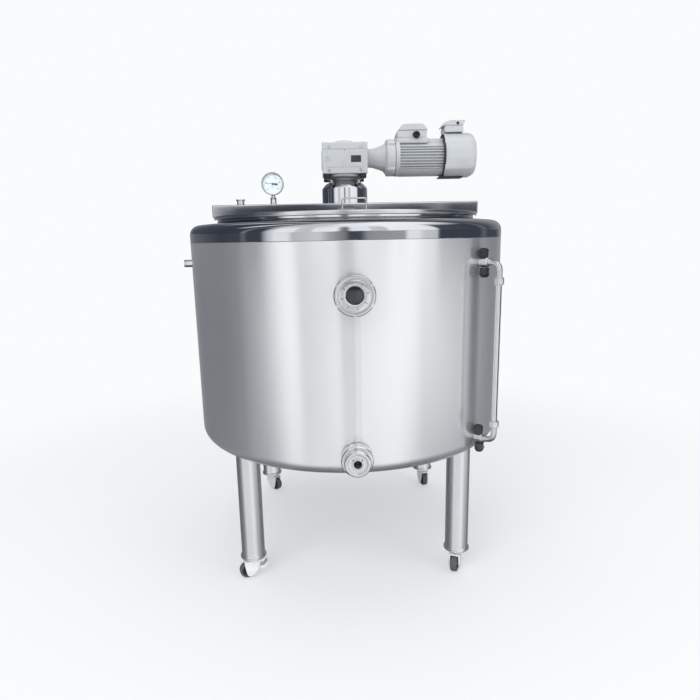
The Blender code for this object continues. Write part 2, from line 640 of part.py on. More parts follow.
def thermometer(steel, dark):
    here = (DIAL_X, 0, DIAL_Z)
    case = turned("dial_case", [
        (0.0, 0.047), (0.035, 0.047), (0.035, DIAL_FRONT), (0.0365, DIAL_FRONT),
        (DIAL_R, 0.0545), (DIAL_R, 0.030), (0.034, 0.026), (0.0, 0.026)], steel, 28, (0, -1, 0),
        here, loop=False)
    smooth(case)
    turned("thermometer_probe", [
        (0.0, 1.2586), (0.0065, 1.2586), (0.0075, 1.252), (0.011, 1.240), (0.011, 1.2273),
        (0.0042, 1.2270), (0.0042, 0.803), (0.0, 0.800)], steel, 16, (0, 0, 1),
        (DIAL_X, STEM_Y, 0), loop=False)
    tip = [(-0.026, 0.0003), (-0.026, -0.0003), (-0.004, -0.0011), (0.004, -0.0022), (0.017, -0.0026),
           (0.017, 0.0026), (0.004, 0.0022), (-0.004, 0.0011)]
    lean = math.radians(-7)
    outline = [(DIAL_X + x * math.cos(lean) - z * math.sin(lean),
                DIAL_Z + x * math.sin(lean) + z * math.cos(lean)) for x, z in tip]
    needle = prism("dial_needle", outline, -0.0497, -0.0487, dark)
    pivot("needle_axis", (DIAL_X, -0.049, DIAL_Z), [needle])


def gauge_cock(label, z, way, steel):
    """Radial pipe with a cock body, an elbow towards the tube and a union nut: way is -1 for down."""
    turn_r = GAUGE_TUBE_R - ELBOW_R
    path = [radial(0.482, z), radial(turn_r, z)]
    for i in range(1, 6):
        angle = math.radians(90 * i / 5)
        path.append(radial(turn_r + ELBOW_R * math.sin(angle),
                           z + way * ELBOW_R * (1 - math.cos(angle))))
    nut_start = z + way * 0.044
    nut_end = z + way * 0.063
    path.append(radial(GAUGE_TUBE_R, nut_start + way * 0.01))
    pipe = bent_bar(f"gauge_pipe_{label}", path, PIPE_R, steel, 2)
    body = rod(f"cock_body_{label}", radial(0.548, z), radial(0.574, z), 0.0145, sides=16,
               cutter=True)
    nut = rod(f"cock_nut_{label}", radial(GAUGE_TUBE_R, min(nut_start, nut_end)),
              radial(GAUGE_TUBE_R, max(nut_start, nut_end)), 0.0150, sides=6, cutter=True)
    join(pipe, body, nut)
    smooth(pipe, 30)
    handle_r = 0.561
    low = z - 0.0150
    spindle = rod(f"gauge_handle_{label}", radial(handle_r, low - 0.014), radial(handle_r, low),
                  0.0035, steel, 12)
    along = Vector((math.cos(GAUGE_ANGLE), math.sin(GAUGE_ANGLE), 0.0))
    centre = radial(handle_r, low - 0.014)
    bar = rod(f"handle_bar_{label}", centre - along * 0.014, centre + along * 0.018, 0.0033,
              sides=12, cutter=True)
    join(spindle, bar)
    return nut_end


def level_gauge(steel, glass):
    top = gauge_cock("upper", GAUGE_TOP_Z, -1, steel)
    low = gauge_cock("lower", GAUGE_LOW_Z, 1, steel)
    tube = turned("gauge_tube", [
        (0.0065, top - GAP), (0.0080, top - GAP), (0.0080, low + GAP), (0.0065, low + GAP)], glass,
        20, (0, 0, 1), radial(GAUGE_TUBE_R, 0.0))
    smooth(tube)


# ---- legs and casters -------------------------------------------------------------------
def caster(label, x, y, zinc, tread, plate):
    """Swivel fork, wheel and, on the front pair, a brake pedal, all carried by the swivel's empty."""
    housing = turned(f"caster_fork_{label}", [
        (0.0, 0.100), (0.0055, 0.100), (0.0060, 0.0995), (0.0060, LEG_BOTTOM - GAP),
        (0.022, LEG_BOTTOM - GAP), (0.024, 0.071), (0.024, 0.064), (0.020, 0.060), (0.0, 0.060)],
        zinc, 16, loop=False)
    cheek = [(-0.016, 0.062), (-0.016, 0.030), (-0.010, 0.025)] + arc(
        (TRAIL, WHEEL_R), 0.0105, 230, 360, 4) + [(0.036, 0.050), (0.034, 0.062)]
    outer = CHEEK_Y + CHEEK_T
    additions = [
        block(f"crown_{label}", (-0.0152, -outer + 0.0006, 0.0592), (0.0325, outer - 0.0006, 0.0612), None,
              cutter=True),
        rod(f"axle_{label}", (TRAIL, -outer - 0.003, WHEEL_R), (TRAIL, outer + 0.003, WHEEL_R),
            AXLE_R, sides=12, cutter=True)]
    for side, name in ((-1, "right"), (1, "left")):
        low = min(side * CHEEK_Y, side * outer)
        additions.append(prism(f"cheek_{name}_{label}", cheek, low, low + CHEEK_T, None,
                               cutter=True))
    join(housing, *additions)
    smooth(housing)
    half = WHEEL_W / 2
    wheel = turned(f"caster_wheel_{label}", [
        (AXLE_R + GAP, half), (0.010, half), (0.0115, half - 0.002), (0.0190, half - 0.002),
        (0.0245, half), (WHEEL_R, half - 0.0035), (WHEEL_R, -half + 0.0035), (0.0245, -half),
        (0.0190, -half + 0.002), (0.0115, -half + 0.002), (0.010, -half), (AXLE_R + GAP, -half)],
        tread, 20, (0, 1, 0), (TRAIL, 0, WHEEL_R))
    smooth(wheel)
    pieces = [housing, wheel] + additions
    if label.startswith("front"):
        outline = [(-0.0085, 0.0360), (-0.0085, 0.0270), (-0.0300, 0.0275), (-0.0430, 0.0360),
                   (-0.0475, 0.0465), (-0.0440, 0.0485), (-0.0385, 0.0400), (-0.0280, 0.0345)]
        pedal = prism(f"brake_pedal_{label}", outline, -0.0115, 0.0115, plate)
        pedal.data.transform(Matrix.Translation((-PEDAL_AXIS[0], -PEDAL_AXIS[1], 0)))
        pedal.location = (PEDAL_AXIS[0], 0, PEDAL_AXIS[1])
        pieces.append(pedal)
    pivot(f"caster_{label}_axis", (x, y, 0.0), pieces, math.radians(CASTER_YAW[label]),
          keep_place=False)


def legs(steel, zinc, tread, pedal):
    envelope = turned("tank_envelope", [(0.0, 0.8)] + clad_outline(GAP, 0.8), None, SHELL_STEPS,
                      loop=False, cutter=True)
    for label, sx, sy in (("front_left", -1, -1), ("front_right", 1, -1),
                          ("rear_left", -1, 1), ("rear_right", 1, 1)):
        x = sx * LEG_XY
        y = sy * LEG_XY
        leg = turned(f"leg_{label}", [
            (LEG_R, 0.470), (LEG_R, LEG_BOTTOM + 0.012), (LEG_R + 0.001, LEG_BOTTOM + 0.008),
            (LEG_FOOT_R, LEG_BOTTOM + 0.006), (LEG_FOOT_R, LEG_BOTTOM + 0.001),
            (LEG_FOOT_R - 0.001, LEG_BOTTOM),
            (0.0065, LEG_BOTTOM), (0.0065, LEG_BOTTOM + LEG_PLATE),
            (LEG_R - LEG_WALL, LEG_BOTTOM + LEG_PLATE), (LEG_R - LEG_WALL, 0.470)], steel, 24,
            at=(x, y, 0))
        cut(leg, envelope)
        smooth(leg)
        caster(label, x, y, zinc, tread, pedal)


# ---- build ------------------------------------------------------------------------------
clear_scene()
PARTS = new_collection("bulk_milk_tank")
CUTTERS = new_collection("cutters")


def main():
    through, jacket_only = wall_openings()
    shells(through, jacket_only)
    polished = paint("polished_fittings", (0.72, 0.73, 0.75), 0.10, 1.0)
    satin = paint("satin_steel", (0.60, 0.61, 0.62), 0.28, 1.0)
    grey = paint("grey_enamel", (0.62, 0.64, 0.65), 0.45, 0.0)
    dark = paint("dark_iron", (0.03, 0.032, 0.035), 0.5, 0.4)
    black = paint("black_rubber", (0.02, 0.02, 0.02), 0.7, 0.0)
    glass = paint("clear_glass", (0.9, 0.95, 0.95), 0.05, 0.0, 0.4)
    zinc = paint("zinc_plate", (0.80, 0.80, 0.80), 0.35, 0.9)
    tread = paint("grey_tread", (0.09, 0.10, 0.11), 0.6, 0.0)
    bridge(polished)
    for label, side in (("front", -1), ("rear", 1)):
        lid(label, side, polished)
    agitator(satin, black)
    gearbox(grey, dark, polished)
    motor(grey, dark, satin)
    ports(polished, glass)
    thermometer(polished, dark)
    level_gauge(polished, glass)
    legs(satin, zinc, tread, zinc)


main()
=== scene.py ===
"""Bulk milk tank: the finished look of every piece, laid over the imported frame."""

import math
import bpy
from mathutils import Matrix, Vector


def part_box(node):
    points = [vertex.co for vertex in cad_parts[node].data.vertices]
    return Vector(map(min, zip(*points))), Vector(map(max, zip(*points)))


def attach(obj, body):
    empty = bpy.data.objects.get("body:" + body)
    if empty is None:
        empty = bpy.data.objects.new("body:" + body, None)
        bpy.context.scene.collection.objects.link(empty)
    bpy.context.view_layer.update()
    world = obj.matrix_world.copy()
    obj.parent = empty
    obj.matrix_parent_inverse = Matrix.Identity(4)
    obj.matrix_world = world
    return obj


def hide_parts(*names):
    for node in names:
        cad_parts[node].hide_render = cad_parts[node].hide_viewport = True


bl_info = {
    "name": "Bulk Milk Tank",
    "version": (1, 0, 0),
    "blender": (4, 5, 0),
    "location": "View3D > Sidebar > Milk Tank",
    "description": "Makes the finished pieces of a jacketed milk tank with a bridge-mounted agitator",
    "category": "Add Mesh",
}

import bmesh
import bpy
from bpy.props import FloatProperty, FloatVectorProperty, IntProperty, PointerProperty
from mathutils import Matrix, Vector

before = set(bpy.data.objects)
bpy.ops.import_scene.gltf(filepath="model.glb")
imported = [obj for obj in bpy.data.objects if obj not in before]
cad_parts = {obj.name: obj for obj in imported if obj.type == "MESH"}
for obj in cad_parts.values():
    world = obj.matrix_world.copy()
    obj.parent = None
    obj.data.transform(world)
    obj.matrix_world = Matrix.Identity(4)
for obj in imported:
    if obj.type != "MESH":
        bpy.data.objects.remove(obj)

# ---- places read from the frame ----------------------------------------------------------
CLAD_LOW, CLAD_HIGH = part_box("outer_shell")
TANK_R = CLAD_HIGH.x
TANK_BOTTOM = CLAD_LOW.z
SEAM_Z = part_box("top_collar")[0].z
BRIDGE_LOW, BRIDGE_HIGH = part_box("bridge_beam")
BRIDGE_TOP = 1.227
BRIDGE_HALF_Y = 0.095
LID_TOP = 1.188
LID_R = 0.457
HINGE_Y = 0.104
HINGE_Z = 1.195
MOTOR_Z = 1.382
COWL_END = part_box("fan_cowl")[1].x
BOX_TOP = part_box("gearbox_housing")[1].z
SIGHT_Z = 0.960
OUTLET_Z = 0.489
STUB_Z = 1.032
GAUGE_R = 0.610
GAUGE_ANGLE = math.radians(-45.0)
DIAL = Vector((-0.249, 0.0, 1.297))
GAUGE_HIGH = 1.033
GAUGE_LOW = 0.485
TANK_ROUND = 0.040
SHEET = 0.0025
NOZZLE_END = 0.434
VENT_X = -0.368
HANDLE_X = (-0.0225, 0.0465)
# Turns a drawing in X and Y to stand up and face the front, with its depth along -Y
UPRIGHT = Matrix(((1, 0, 0), (0, 0, -1), (0, 1, 0))).to_4x4()
CORNERS = {"front_left": (-1, -1), "front_right": (1, -1), "rear_left": (-1, 1), "rear_right": (1, 1)}
LEG_XY = 0.343


# ---- settings ----------------------------------------------------------------------------
def length(name, text, value, low=0.0001, high=2.0):
    return FloatProperty(name=name, description=text, default=value, min=low, max=high,
                         unit="LENGTH", precision=4)


def colour(name, text, value):
    return FloatVectorProperty(name=name, description=text, default=value, size=3, min=0.0, max=1.0,
                               subtype="COLOR")


class TankSettings(bpy.types.PropertyGroup):
    """Sizes and finish of the jacketed tank"""
    facets: IntProperty(name="Facets", description="Facets round the tank's walls", default=192,
                        min=32, max=512)
    seam_bead: length("Seam bead", "Radius of the weld beads on the cladding", 0.0016)
    steel: colour("Cladding", "Colour of the brushed cladding", (0.875, 0.88, 0.895))
    mirror: colour("Polished steel", "Colour of the mirror polished collar", (0.74, 0.755, 0.775))
    grain: FloatProperty(name="Grain", description="Strength of the brushed grain", default=0.35,
                         min=0.0, max=2.0)


class TopSettings(bpy.types.PropertyGroup):
    """Sizes of the bridge, its lids and its fittings"""
    edge: length("Folded edge", "Outer radius of the bridge's folds", 0.004)
    handle: length("Handle wire", "Radius of the lid handles' wire", 0.0025)
    dial: length("Dial radius", "Radius of the thermometer's case", 0.038)
    dial_paper: colour("Dial paper", "Colour of the dial's face", (0.88, 0.94, 1.0))


class DriveSettings(bpy.types.PropertyGroup):
    """Sizes and colours of the geared motor"""
    enamel: colour("Enamel", "Colour of the gearbox and motor", (0.52, 0.54, 0.565))
    # This dark colour also paints the shade in the cowl's gap ring and in the outlet's bore
    iron: colour("Dark iron", "Colour of the output flange and the glands", (0.035, 0.037, 0.042))
    fins: IntProperty(name="Fins", description="Cooling fins in each half of the motor frame",
                      default=9, min=4, max=40)
    fin: length("Fin height", "How far a cooling fin stands out", 0.0092)


class FittingSettings(bpy.types.PropertyGroup):
    """Sizes of the wall fittings"""
    notches: IntProperty(name="Nut notches", description="Spanner notches round a union nut",
                         default=6, min=3, max=12)
    notch: length("Notch width", "Width of a spanner notch", 0.0075)


class RunningGearSettings(bpy.types.PropertyGroup):
    """Colours of the casters"""
    zinc: colour("Caster plate", "Colour of the caster forks", (0.90, 0.90, 0.905))
    tread: colour("Tread", "Colour of the caster treads", (0.10, 0.105, 0.112))


class StageSettings(bpy.types.PropertyGroup):
    """Camera and floor"""
    lens: FloatProperty(name="Lens", description="Focal length in millimetres", default=28.99,
                        min=10.0, max=200.0)
    floor: colour("Floor", "Colour of the pale floor", (0.86, 0.87, 0.88))


# ---- mesh tools --------------------------------------------------------------------------
def about(axis, at=(0, 0, 0)):
    """Places a shape made on +Z at a point, with its +Z along axis."""
    turn = Vector((0, 0, 1)).rotation_difference(Vector(axis)).to_matrix().to_4x4()
    return Matrix.Translation(Vector(at)) @ turn


def gauge_point(distance, z):
    return Vector((distance * math.cos(GAUGE_ANGLE), distance * math.sin(GAUGE_ANGLE), z))


def rounded(points, radius=0.001, segments=3, closed=True):
    """Rounds the corners of a profile. A corner may carry its own radius as a third number."""
    corners = [(Vector(p[:2]), p[2] if len(p) > 2 else radius) for p in points]
    out = []
    count = len(corners)
    for i, (point, size) in enumerate(corners):
        ends = not closed and i in (0, count - 1)
        before = corners[i - 1][0] - point
        after = corners[(i + 1) % count][0] - point
        if ends or size <= 0 or before.length < 1e-7 or after.length < 1e-7:
            out.append(point)
            continue
        bend = before.angle(after)
        if bend < 0.05 or bend > 3.10:
            out.append(point)
            continue
        reach = min(size / math.tan(bend / 2), before.length * 0.49, after.length * 0.49)
        start = point + before.normalized() * reach
        end = point + after.normalized() * reach
        for k in range(segments + 1):
            t = k / segments
            out.append(start * (1 - t) ** 2 + point * 2 * t * (1 - t) + end * t ** 2)
    return out


def add_faces(bm, rings, close_last):
    """Joins rings of vertices, or single pole vertices, with faces."""
    count = len(rings)
    made = []
    for i in range(count if close_last else count - 1):
        a = rings[i]
        b = rings[(i + 1) % count]
        if len(a) == 1 and len(b) == 1:
            continue
        steps = max(len(a), len(b))
        for k in range(steps):
            j = (k + 1) % steps
            if len(a) == 1:
                corners = [a[0], b[j], b[k]]
            elif len(b) == 1:
                corners = [a[k], a[j], b[0]]
            else:
                corners = [a[k], a[j], b[j], b[k]]
            made.append(bm.faces.new(corners))
    return made


def revolve(bm, profile, steps=64, place=Matrix(), closed=True):
    """Turns (radius, height) points about Z into one closed body."""
    rings = []
    for point in profile:
        if point[0] < 1e-6:
            rings.append([bm.verts.new(place @ Vector((0, 0, point[1])))])
            continue
        rings.append([bm.verts.new(place @ Vector((point[0] * math.cos(2 * math.pi * k / steps),
                                                   point[0] * math.sin(2 * math.pi * k / steps),
                                                   point[1]))) for k in range(steps)])
    faces = add_faces(bm, rings, closed)
    bmesh.ops.recalc_face_normals(bm, faces=faces)
    return faces


def ring(bm, profile, steps=64, place=Matrix(), radius=0.001, segments=3):
    """A turned ring or tube with rounded corners."""
    return revolve(bm, rounded(profile, radius, segments), steps, place)


def turned(bm, profile, steps=64, place=Matrix(), radius=0.001, segments=3):
    """A turned solid with rounded corners, whose profile starts and ends on the axis."""
    return revolve(bm, rounded(profile, radius, segments, closed=False), steps, place, closed=False)


def box(bm, low, high, soft=0.0, segments=3, place=Matrix()):
    """A box between two corners, with rounded edges."""
    low = Vector(low)
    high = Vector(high)
    shape = Matrix.Translation((low + high) / 2) @ Matrix.Diagonal((*(high - low), 1.0))
    made = bmesh.ops.create_cube(bm, size=1.0, matrix=shape)
    edges = {e for v in made["verts"] for e in v.link_edges}
    verts = set(made["verts"])
    if soft > 0:
        result = bmesh.ops.bevel(bm, geom=list(edges), offset=soft, segments=segments, profile=0.5,
                                 affect="EDGES")
        verts = set(result["verts"]) | {v for v in verts if v.is_valid}
    bmesh.ops.transform(bm, matrix=place, verts=list(verts))
    return verts


def slab(bm, outline, low, high, place=Matrix(), soft=0.0, segments=2):
    """A flat outline in X and Y made thick from low to high along Z."""
    bottom = [bm.verts.new((x, y, low)) for x, y in outline]
    top = [bm.verts.new((x, y, high)) for x, y in outline]
    faces = [bm.faces.new(bottom[::-1]), bm.faces.new(top)]
    count = len(outline)
    for i in range(count):
        j = (i + 1) % count
        faces.append(bm.faces.new([bottom[i], bottom[j], top[j], top[i]]))
    bmesh.ops.recalc_face_normals(bm, faces=faces)
    verts = set(bottom + top)
    if soft > 0:
        rims = [e for f in faces[:2] for e in f.edges]
        result = bmesh.ops.bevel(bm, geom=rims, offset=soft, segments=segments, profile=0.5,
                                 affect="EDGES")
        verts = set(result["verts"]) | {v for v in verts if v.is_valid}
    bmesh.ops.transform(bm, matrix=place, verts=list(verts))
    return verts


def sweep(bm, points, radius, sides=16):
    """A round bar along a path, with its ends closed by poles."""
    points = [Vector(p) for p in points]
    rings = []
    normal = None
    for i, point in enumerate(points):
        ahead = points[min(i + 1, len(points) - 1)] - points[max(i - 1, 0)]
        ahead.normalize()
        if normal is None:
            normal = ahead.orthogonal().normalized()
        else:
            normal = (normal - ahead * normal.dot(ahead)).normalized()
        side = ahead.cross(normal)
        rings.append([bm.verts.new(point + (normal * math.cos(2 * math.pi * k / sides)
                                            + side * math.sin(2 * math.pi * k / sides)) * radius)
                      for k in range(sides)])
    start = bm.verts.new(points[0])
    end = bm.verts.new(points[-1])
    faces = add_faces(bm, [[start]] + rings + [[end]], False)
    bmesh.ops.recalc_face_normals(bm, faces=faces)
    return faces


def bent_path(points, bend, steps=8):
    """A path through 3-D corners with each inner corner rounded."""
    points = [Vector(p) for p in points]
    out = [points[0]]
    for before, point, after in zip(points, points[1:], points[2:]):
        back = (before - point)
        on = (after - point)
        reach = min(bend / math.tan(back.angle(on) / 2), back.length * 0.49, on.length * 0.49)
        start = point + back.normalized() * reach
        end = point + on.normalized() * reach
        for k in range(steps + 1):
            t = k / steps
            out.append(start * (1 - t) ** 2 + point * 2 * t * (1 - t) + end * t ** 2)
    out.append(points[-1])
    return out


def hexagon(bm, across, low, high, place, bore=0.0):
    """A hexagon head or nut with its corners turned off."""
    r = across / math.sqrt(3)
    chamfer = r * 0.10
    outer = [(r - chamfer, high), (r, high - chamfer * 0.6), (r, low + chamfer * 0.6), (r - chamfer, low)]
    if bore > 0:
        return revolve(bm, [(bore, high)] + outer + [(bore, low)], 6, place)
    return revolve(bm, [(0.0, high)] + outer + [(0.0, low)], 6, place, closed=False)


def cap_screw(bm, radius, height, place):
    """A socket cap screw head standing on its place, with a round socket."""
    turned(bm, [(0.0, height * 0.45, 0.0), (radius * 0.5, height * 0.45, 0.0),
                (radius * 0.5, height, 0.0), (radius, height, radius * 0.16), (radius, 0.0, 0.0),
                (0.0, 0.0, 0.0)], 18, place)


def arc(cx, cy, radius, start, end, count):
    """Points of an arc, angles in degrees, both ends included."""
    return [(cx + radius * math.cos(math.radians(start + (end - start) * i / count)),
             cy + radius * math.sin(math.radians(start + (end - start) * i / count)))
            for i in range(count + 1)]


def to_mesh(bm, name):
    mesh = bpy.data.meshes.new(name)
    bm.normal_update()
    bm.to_mesh(mesh)
    bm.free()
    return mesh


def link(obj):
    bpy.context.scene.collection.objects.link(obj)
    return obj


def finish_piece(name, mesh, finish, body, nodes=(), angle=32.0):
    """Links a finished mesh as a piece that rides on a body."""
    mesh.name = name
    mesh.materials.clear()
    mesh.materials.append(FINISH[finish])
    mesh.shade_smooth()
    mesh.set_sharp_from_angle(angle=math.radians(angle))
    piece = link(bpy.data.objects.new(name, mesh))
    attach(piece, body)
    if nodes:
        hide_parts(*nodes)
    return piece


def piece_from(bm, name, finish, body, nodes=(), angle=32.0):
    return finish_piece(name, to_mesh(bm, name), finish, body, nodes, angle)


def carved(mesh, tools, operation="DIFFERENCE"):
    """Cuts or joins closed bodies with exact booleans and returns the plain mesh."""
    base = link(bpy.data.objects.new("carve_base", mesh))
    helpers = []
    for tool in tools:
        helper = link(bpy.data.objects.new("carve_tool", tool))
        helpers.append(helper)
        step = base.modifiers.new("carve", "BOOLEAN")
        step.operation = operation
        step.solver = "EXACT"
        step.object = helper
    bpy.context.view_layer.update()
    solid = base.evaluated_get(bpy.context.evaluated_depsgraph_get())
    result = bpy.data.meshes.new_from_object(solid)
    for item in helpers + [base]:
        bpy.data.objects.remove(item, do_unlink=True)
    return result


def merge(bm, mesh, place=Matrix()):
    """Adds a plain mesh to a bmesh and frees it."""
    before = set(bm.verts)
    bm.from_mesh(mesh)
    fresh = [v for v in bm.verts if v not in before]
    bmesh.ops.transform(bm, matrix=place, verts=fresh)
    bpy.data.meshes.remove(mesh)


# ---- repeats by geometry nodes -----------------------------------------------------------
TREES = {}


def new_tree(name, inputs):
    """A geometry tree with a Geometry input, the named inputs and a Geometry output."""
    tree = bpy.data.node_groups.new(name, "GeometryNodeTree")
    face = tree.interface
    face.new_socket("Geometry", in_out="INPUT", socket_type="NodeSocketGeometry")
    for label, kind, value in inputs:
        socket = face.new_socket(label, in_out="INPUT", socket_type=kind)
        if kind != "NodeSocketMaterial":
            socket.default_value = value
    face.new_socket("Geometry", in_out="OUTPUT", socket_type="NodeSocketGeometry")
    return tree, tree.nodes.new("NodeGroupInput"), tree.nodes.new("NodeGroupOutput")


def finish_tree(tree, source, points, rotation):
    """Puts the input shape on the points, makes it real and gives it its material."""
    nodes = tree.nodes
    place = nodes.new("GeometryNodeInstanceOnPoints")
    real = nodes.new("GeometryNodeRealizeInstances")
    coat = nodes.new("GeometryNodeSetMaterial")
    join = tree.links.new
    join(points, place.inputs["Points"])
    join(source.outputs["Geometry"], place.inputs["Instance"])
    if rotation:
        join(rotation, place.inputs["Rotation"])
    join(place.outputs["Instances"], real.inputs["Geometry"])
    join(real.outputs["Geometry"], coat.inputs["Geometry"])
    join(source.outputs["Material"], coat.inputs["Material"])
    return coat


def ring_tree():
    """Copies of a shape turned about Z, from Start over Sweep."""
    tree, source, sink = new_tree("Copies round an axis", [
        ("Count", "NodeSocketInt", 6), ("Start", "NodeSocketFloat", 0.0),
        ("Step", "NodeSocketFloat", math.pi / 3), ("Material", "NodeSocketMaterial", None)])
    nodes = tree.nodes
    points = nodes.new("GeometryNodePoints")
    index = nodes.new("GeometryNodeInputIndex")
    turn = nodes.new("ShaderNodeMath")
    turn.operation = "MULTIPLY_ADD"
    spin = nodes.new("ShaderNodeCombineXYZ")
    tree.links.new(source.outputs["Count"], points.inputs["Count"])
    tree.links.new(index.outputs["Index"], turn.inputs[0])
    tree.links.new(source.outputs["Step"], turn.inputs[1])
    tree.links.new(source.outputs["Start"], turn.inputs[2])
    tree.links.new(turn.outputs["Value"], spin.inputs["Z"])
    coat = finish_tree(tree, source, points.outputs["Points"], spin.outputs["Vector"])
    tree.links.new(coat.outputs["Geometry"], sink.inputs["Geometry"])
    return tree


def grid_tree():
    """Copies of a shape on a grid in X and Y, centred on the origin."""
    tree, source, sink = new_tree("Copies on a grid", [
        ("Size X", "NodeSocketFloat", 0.1), ("Size Y", "NodeSocketFloat", 0.1),
        ("Count X", "NodeSocketInt", 2), ("Count Y", "NodeSocketInt", 2),
        ("Material", "NodeSocketMaterial", None)])
    grid = tree.nodes.new("GeometryNodeMeshGrid")
    for label, name in (("Size X", "Size X"), ("Size Y", "Size Y"), ("Count X", "Vertices X"),
                        ("Count Y", "Vertices Y")):
        tree.links.new(source.outputs[label], grid.inputs[name])
    coat = finish_tree(tree, source, grid.outputs["Mesh"], None)
    tree.links.new(coat.outputs["Geometry"], sink.inputs["Geometry"])
    return tree


def copies(bm, shape, make_tree, values, finish, place):
    """Repeats a small shape by one of the trees and adds the plain result to bm."""
    if make_tree not in TREES:
        TREES[make_tree] = make_tree()
    tree = TREES[make_tree]
    holder = link(bpy.data.objects.new("repeat", to_mesh(shape, "repeat")))
    step = holder.modifiers.new("repeat", "NODES")
    step.node_group = tree
    values["Material"] = FINISH[finish]
    for item in tree.interface.items_tree:
        if item.item_type == "SOCKET" and item.in_out == "INPUT" and item.name in values:
            step[item.identifier] = values[item.name]
    bpy.context.view_layer.update()
    solid = holder.evaluated_get(bpy.context.evaluated_depsgraph_get())
    result = bpy.data.meshes.new_from_object(solid)
    holder.modifiers.clear()
    bpy.data.objects.remove(holder, do_unlink=True)
    merge(bm, result, place)


def around(bm, shape, count, finish, place=Matrix(), start=0.0, step=None):
    """Copies of a shape turned about Z, the whole way round unless a step in degrees is given."""
    copies(bm, shape, ring_tree, {"Count": count, "Start": math.radians(start),
                                  "Step": math.radians(step or 360 / count)}, finish, place)


def at_corners(bm, shape, size_x, size_y, finish):
    """Copies of a shape at the four corners of a rectangle."""
    copies(bm, shape, grid_tree, {"Size X": size_x, "Size Y": size_y, "Count X": 2, "Count Y": 2},
           finish, Matrix())


# ---- finishes ----------------------------------------------------------------------------
def shader_group(name, inputs, outputs):
    tree = bpy.data.node_groups.new(name, "ShaderNodeTree")
    for label, kind, value in inputs:
        socket = tree.interface.new_socket(label, in_out="INPUT", socket_type=kind)
        socket.default_value = value
    for label, kind in outputs:
        tree.interface.new_socket(label, in_out="OUTPUT", socket_type=kind)
    return tree, tree.nodes.new("NodeGroupInput"), tree.nodes.new("NodeGroupOutput")


def math_node(tree, operation, a, b=None, c=None, clamp=False):
    node = tree.nodes.new("ShaderNodeMath")
    node.operation = operation
    node.use_clamp = clamp
    for socket, value in zip(node.inputs, (a, b, c)):
        if value is None:
            continue
        if isinstance(value, (int, float)):
            socket.default_value = value
        else:
            tree.links.new(value, socket)
    return node.outputs[0]


def noise(tree, vector, scale, detail=3.0, rough=0.5):
    node = tree.nodes.new("ShaderNodeTexNoise")
    node.inputs["Scale"].default_value = scale
    node.inputs["Detail"].default_value = detail
    node.inputs["Roughness"].default_value = rough
    tree.links.new(vector, node.inputs["Vector"])
    return node.outputs["Fac"]


def stretched(tree, vector, scale):
    """Object coordinates multiplied along each axis, for a stretched pattern."""
    node = tree.nodes.new("ShaderNodeVectorMath")
    node.operation = "MULTIPLY"
    tree.links.new(vector, node.inputs[0])
    node.inputs[1].default_value = scale
    return node.outputs[0]


def brushed_group():
    """Long fine lines that run round the tank, with cloudy handling marks."""
    tree, source, sink = shader_group(
        "Brushed lines",
        [("Vector", "NodeSocketVector", (0, 0, 0)), ("Colour", "NodeSocketColor", (0.7, 0.7, 0.7, 1)),
         ("Roughness", "NodeSocketFloat", 0.25), ("Grain", "NodeSocketFloat", 0.4)],
        [("Colour", "NodeSocketColor"), ("Roughness", "NodeSocketFloat"), ("Height", "NodeSocketFloat")])
    scale = (3.0, 3.0, 420.0)
    slow = (15.0, 15.0, 0.35)
    lines = noise(tree, stretched(tree, source.outputs["Vector"], scale), 1.0, 4.0, 0.65)
    bands = noise(tree, stretched(tree, source.outputs["Vector"], slow), 1.0, 3.0, 0.6)
    clouds = noise(tree, source.outputs["Vector"], 5.5, 5.0, 0.6)
    both = math_node(tree, "MULTIPLY_ADD", bands, 0.60, math_node(tree, "MULTIPLY", lines, 0.40))
    centred = math_node(tree, "SUBTRACT", both, 0.5)
    tint = math_node(tree, "MULTIPLY_ADD", math_node(tree, "MULTIPLY", centred,
                                                     source.outputs["Grain"]), 0.42, 1.0)
    marked = math_node(tree, "MULTIPLY_ADD", math_node(tree, "SUBTRACT", clouds, 0.5), 0.07, tint)
    mix = tree.nodes.new("ShaderNodeVectorMath")
    mix.operation = "SCALE"
    tree.links.new(source.outputs["Colour"], mix.inputs[0])
    tree.links.new(marked, mix.inputs["Scale"])
    rough = math_node(tree, "MULTIPLY_ADD", math_node(tree, "MULTIPLY", centred,
                                                      source.outputs["Grain"]), 0.35,
                      source.outputs["Roughness"])
    worn = math_node(tree, "MULTIPLY_ADD", math_node(tree, "SUBTRACT", clouds, 0.5), 0.12, rough, True)
    tree.links.new(mix.outputs[0], sink.inputs["Colour"])
    tree.links.new(worn, sink.inputs["Roughness"])
    tree.links.new(lines, sink.inputs["Height"])
    return tree


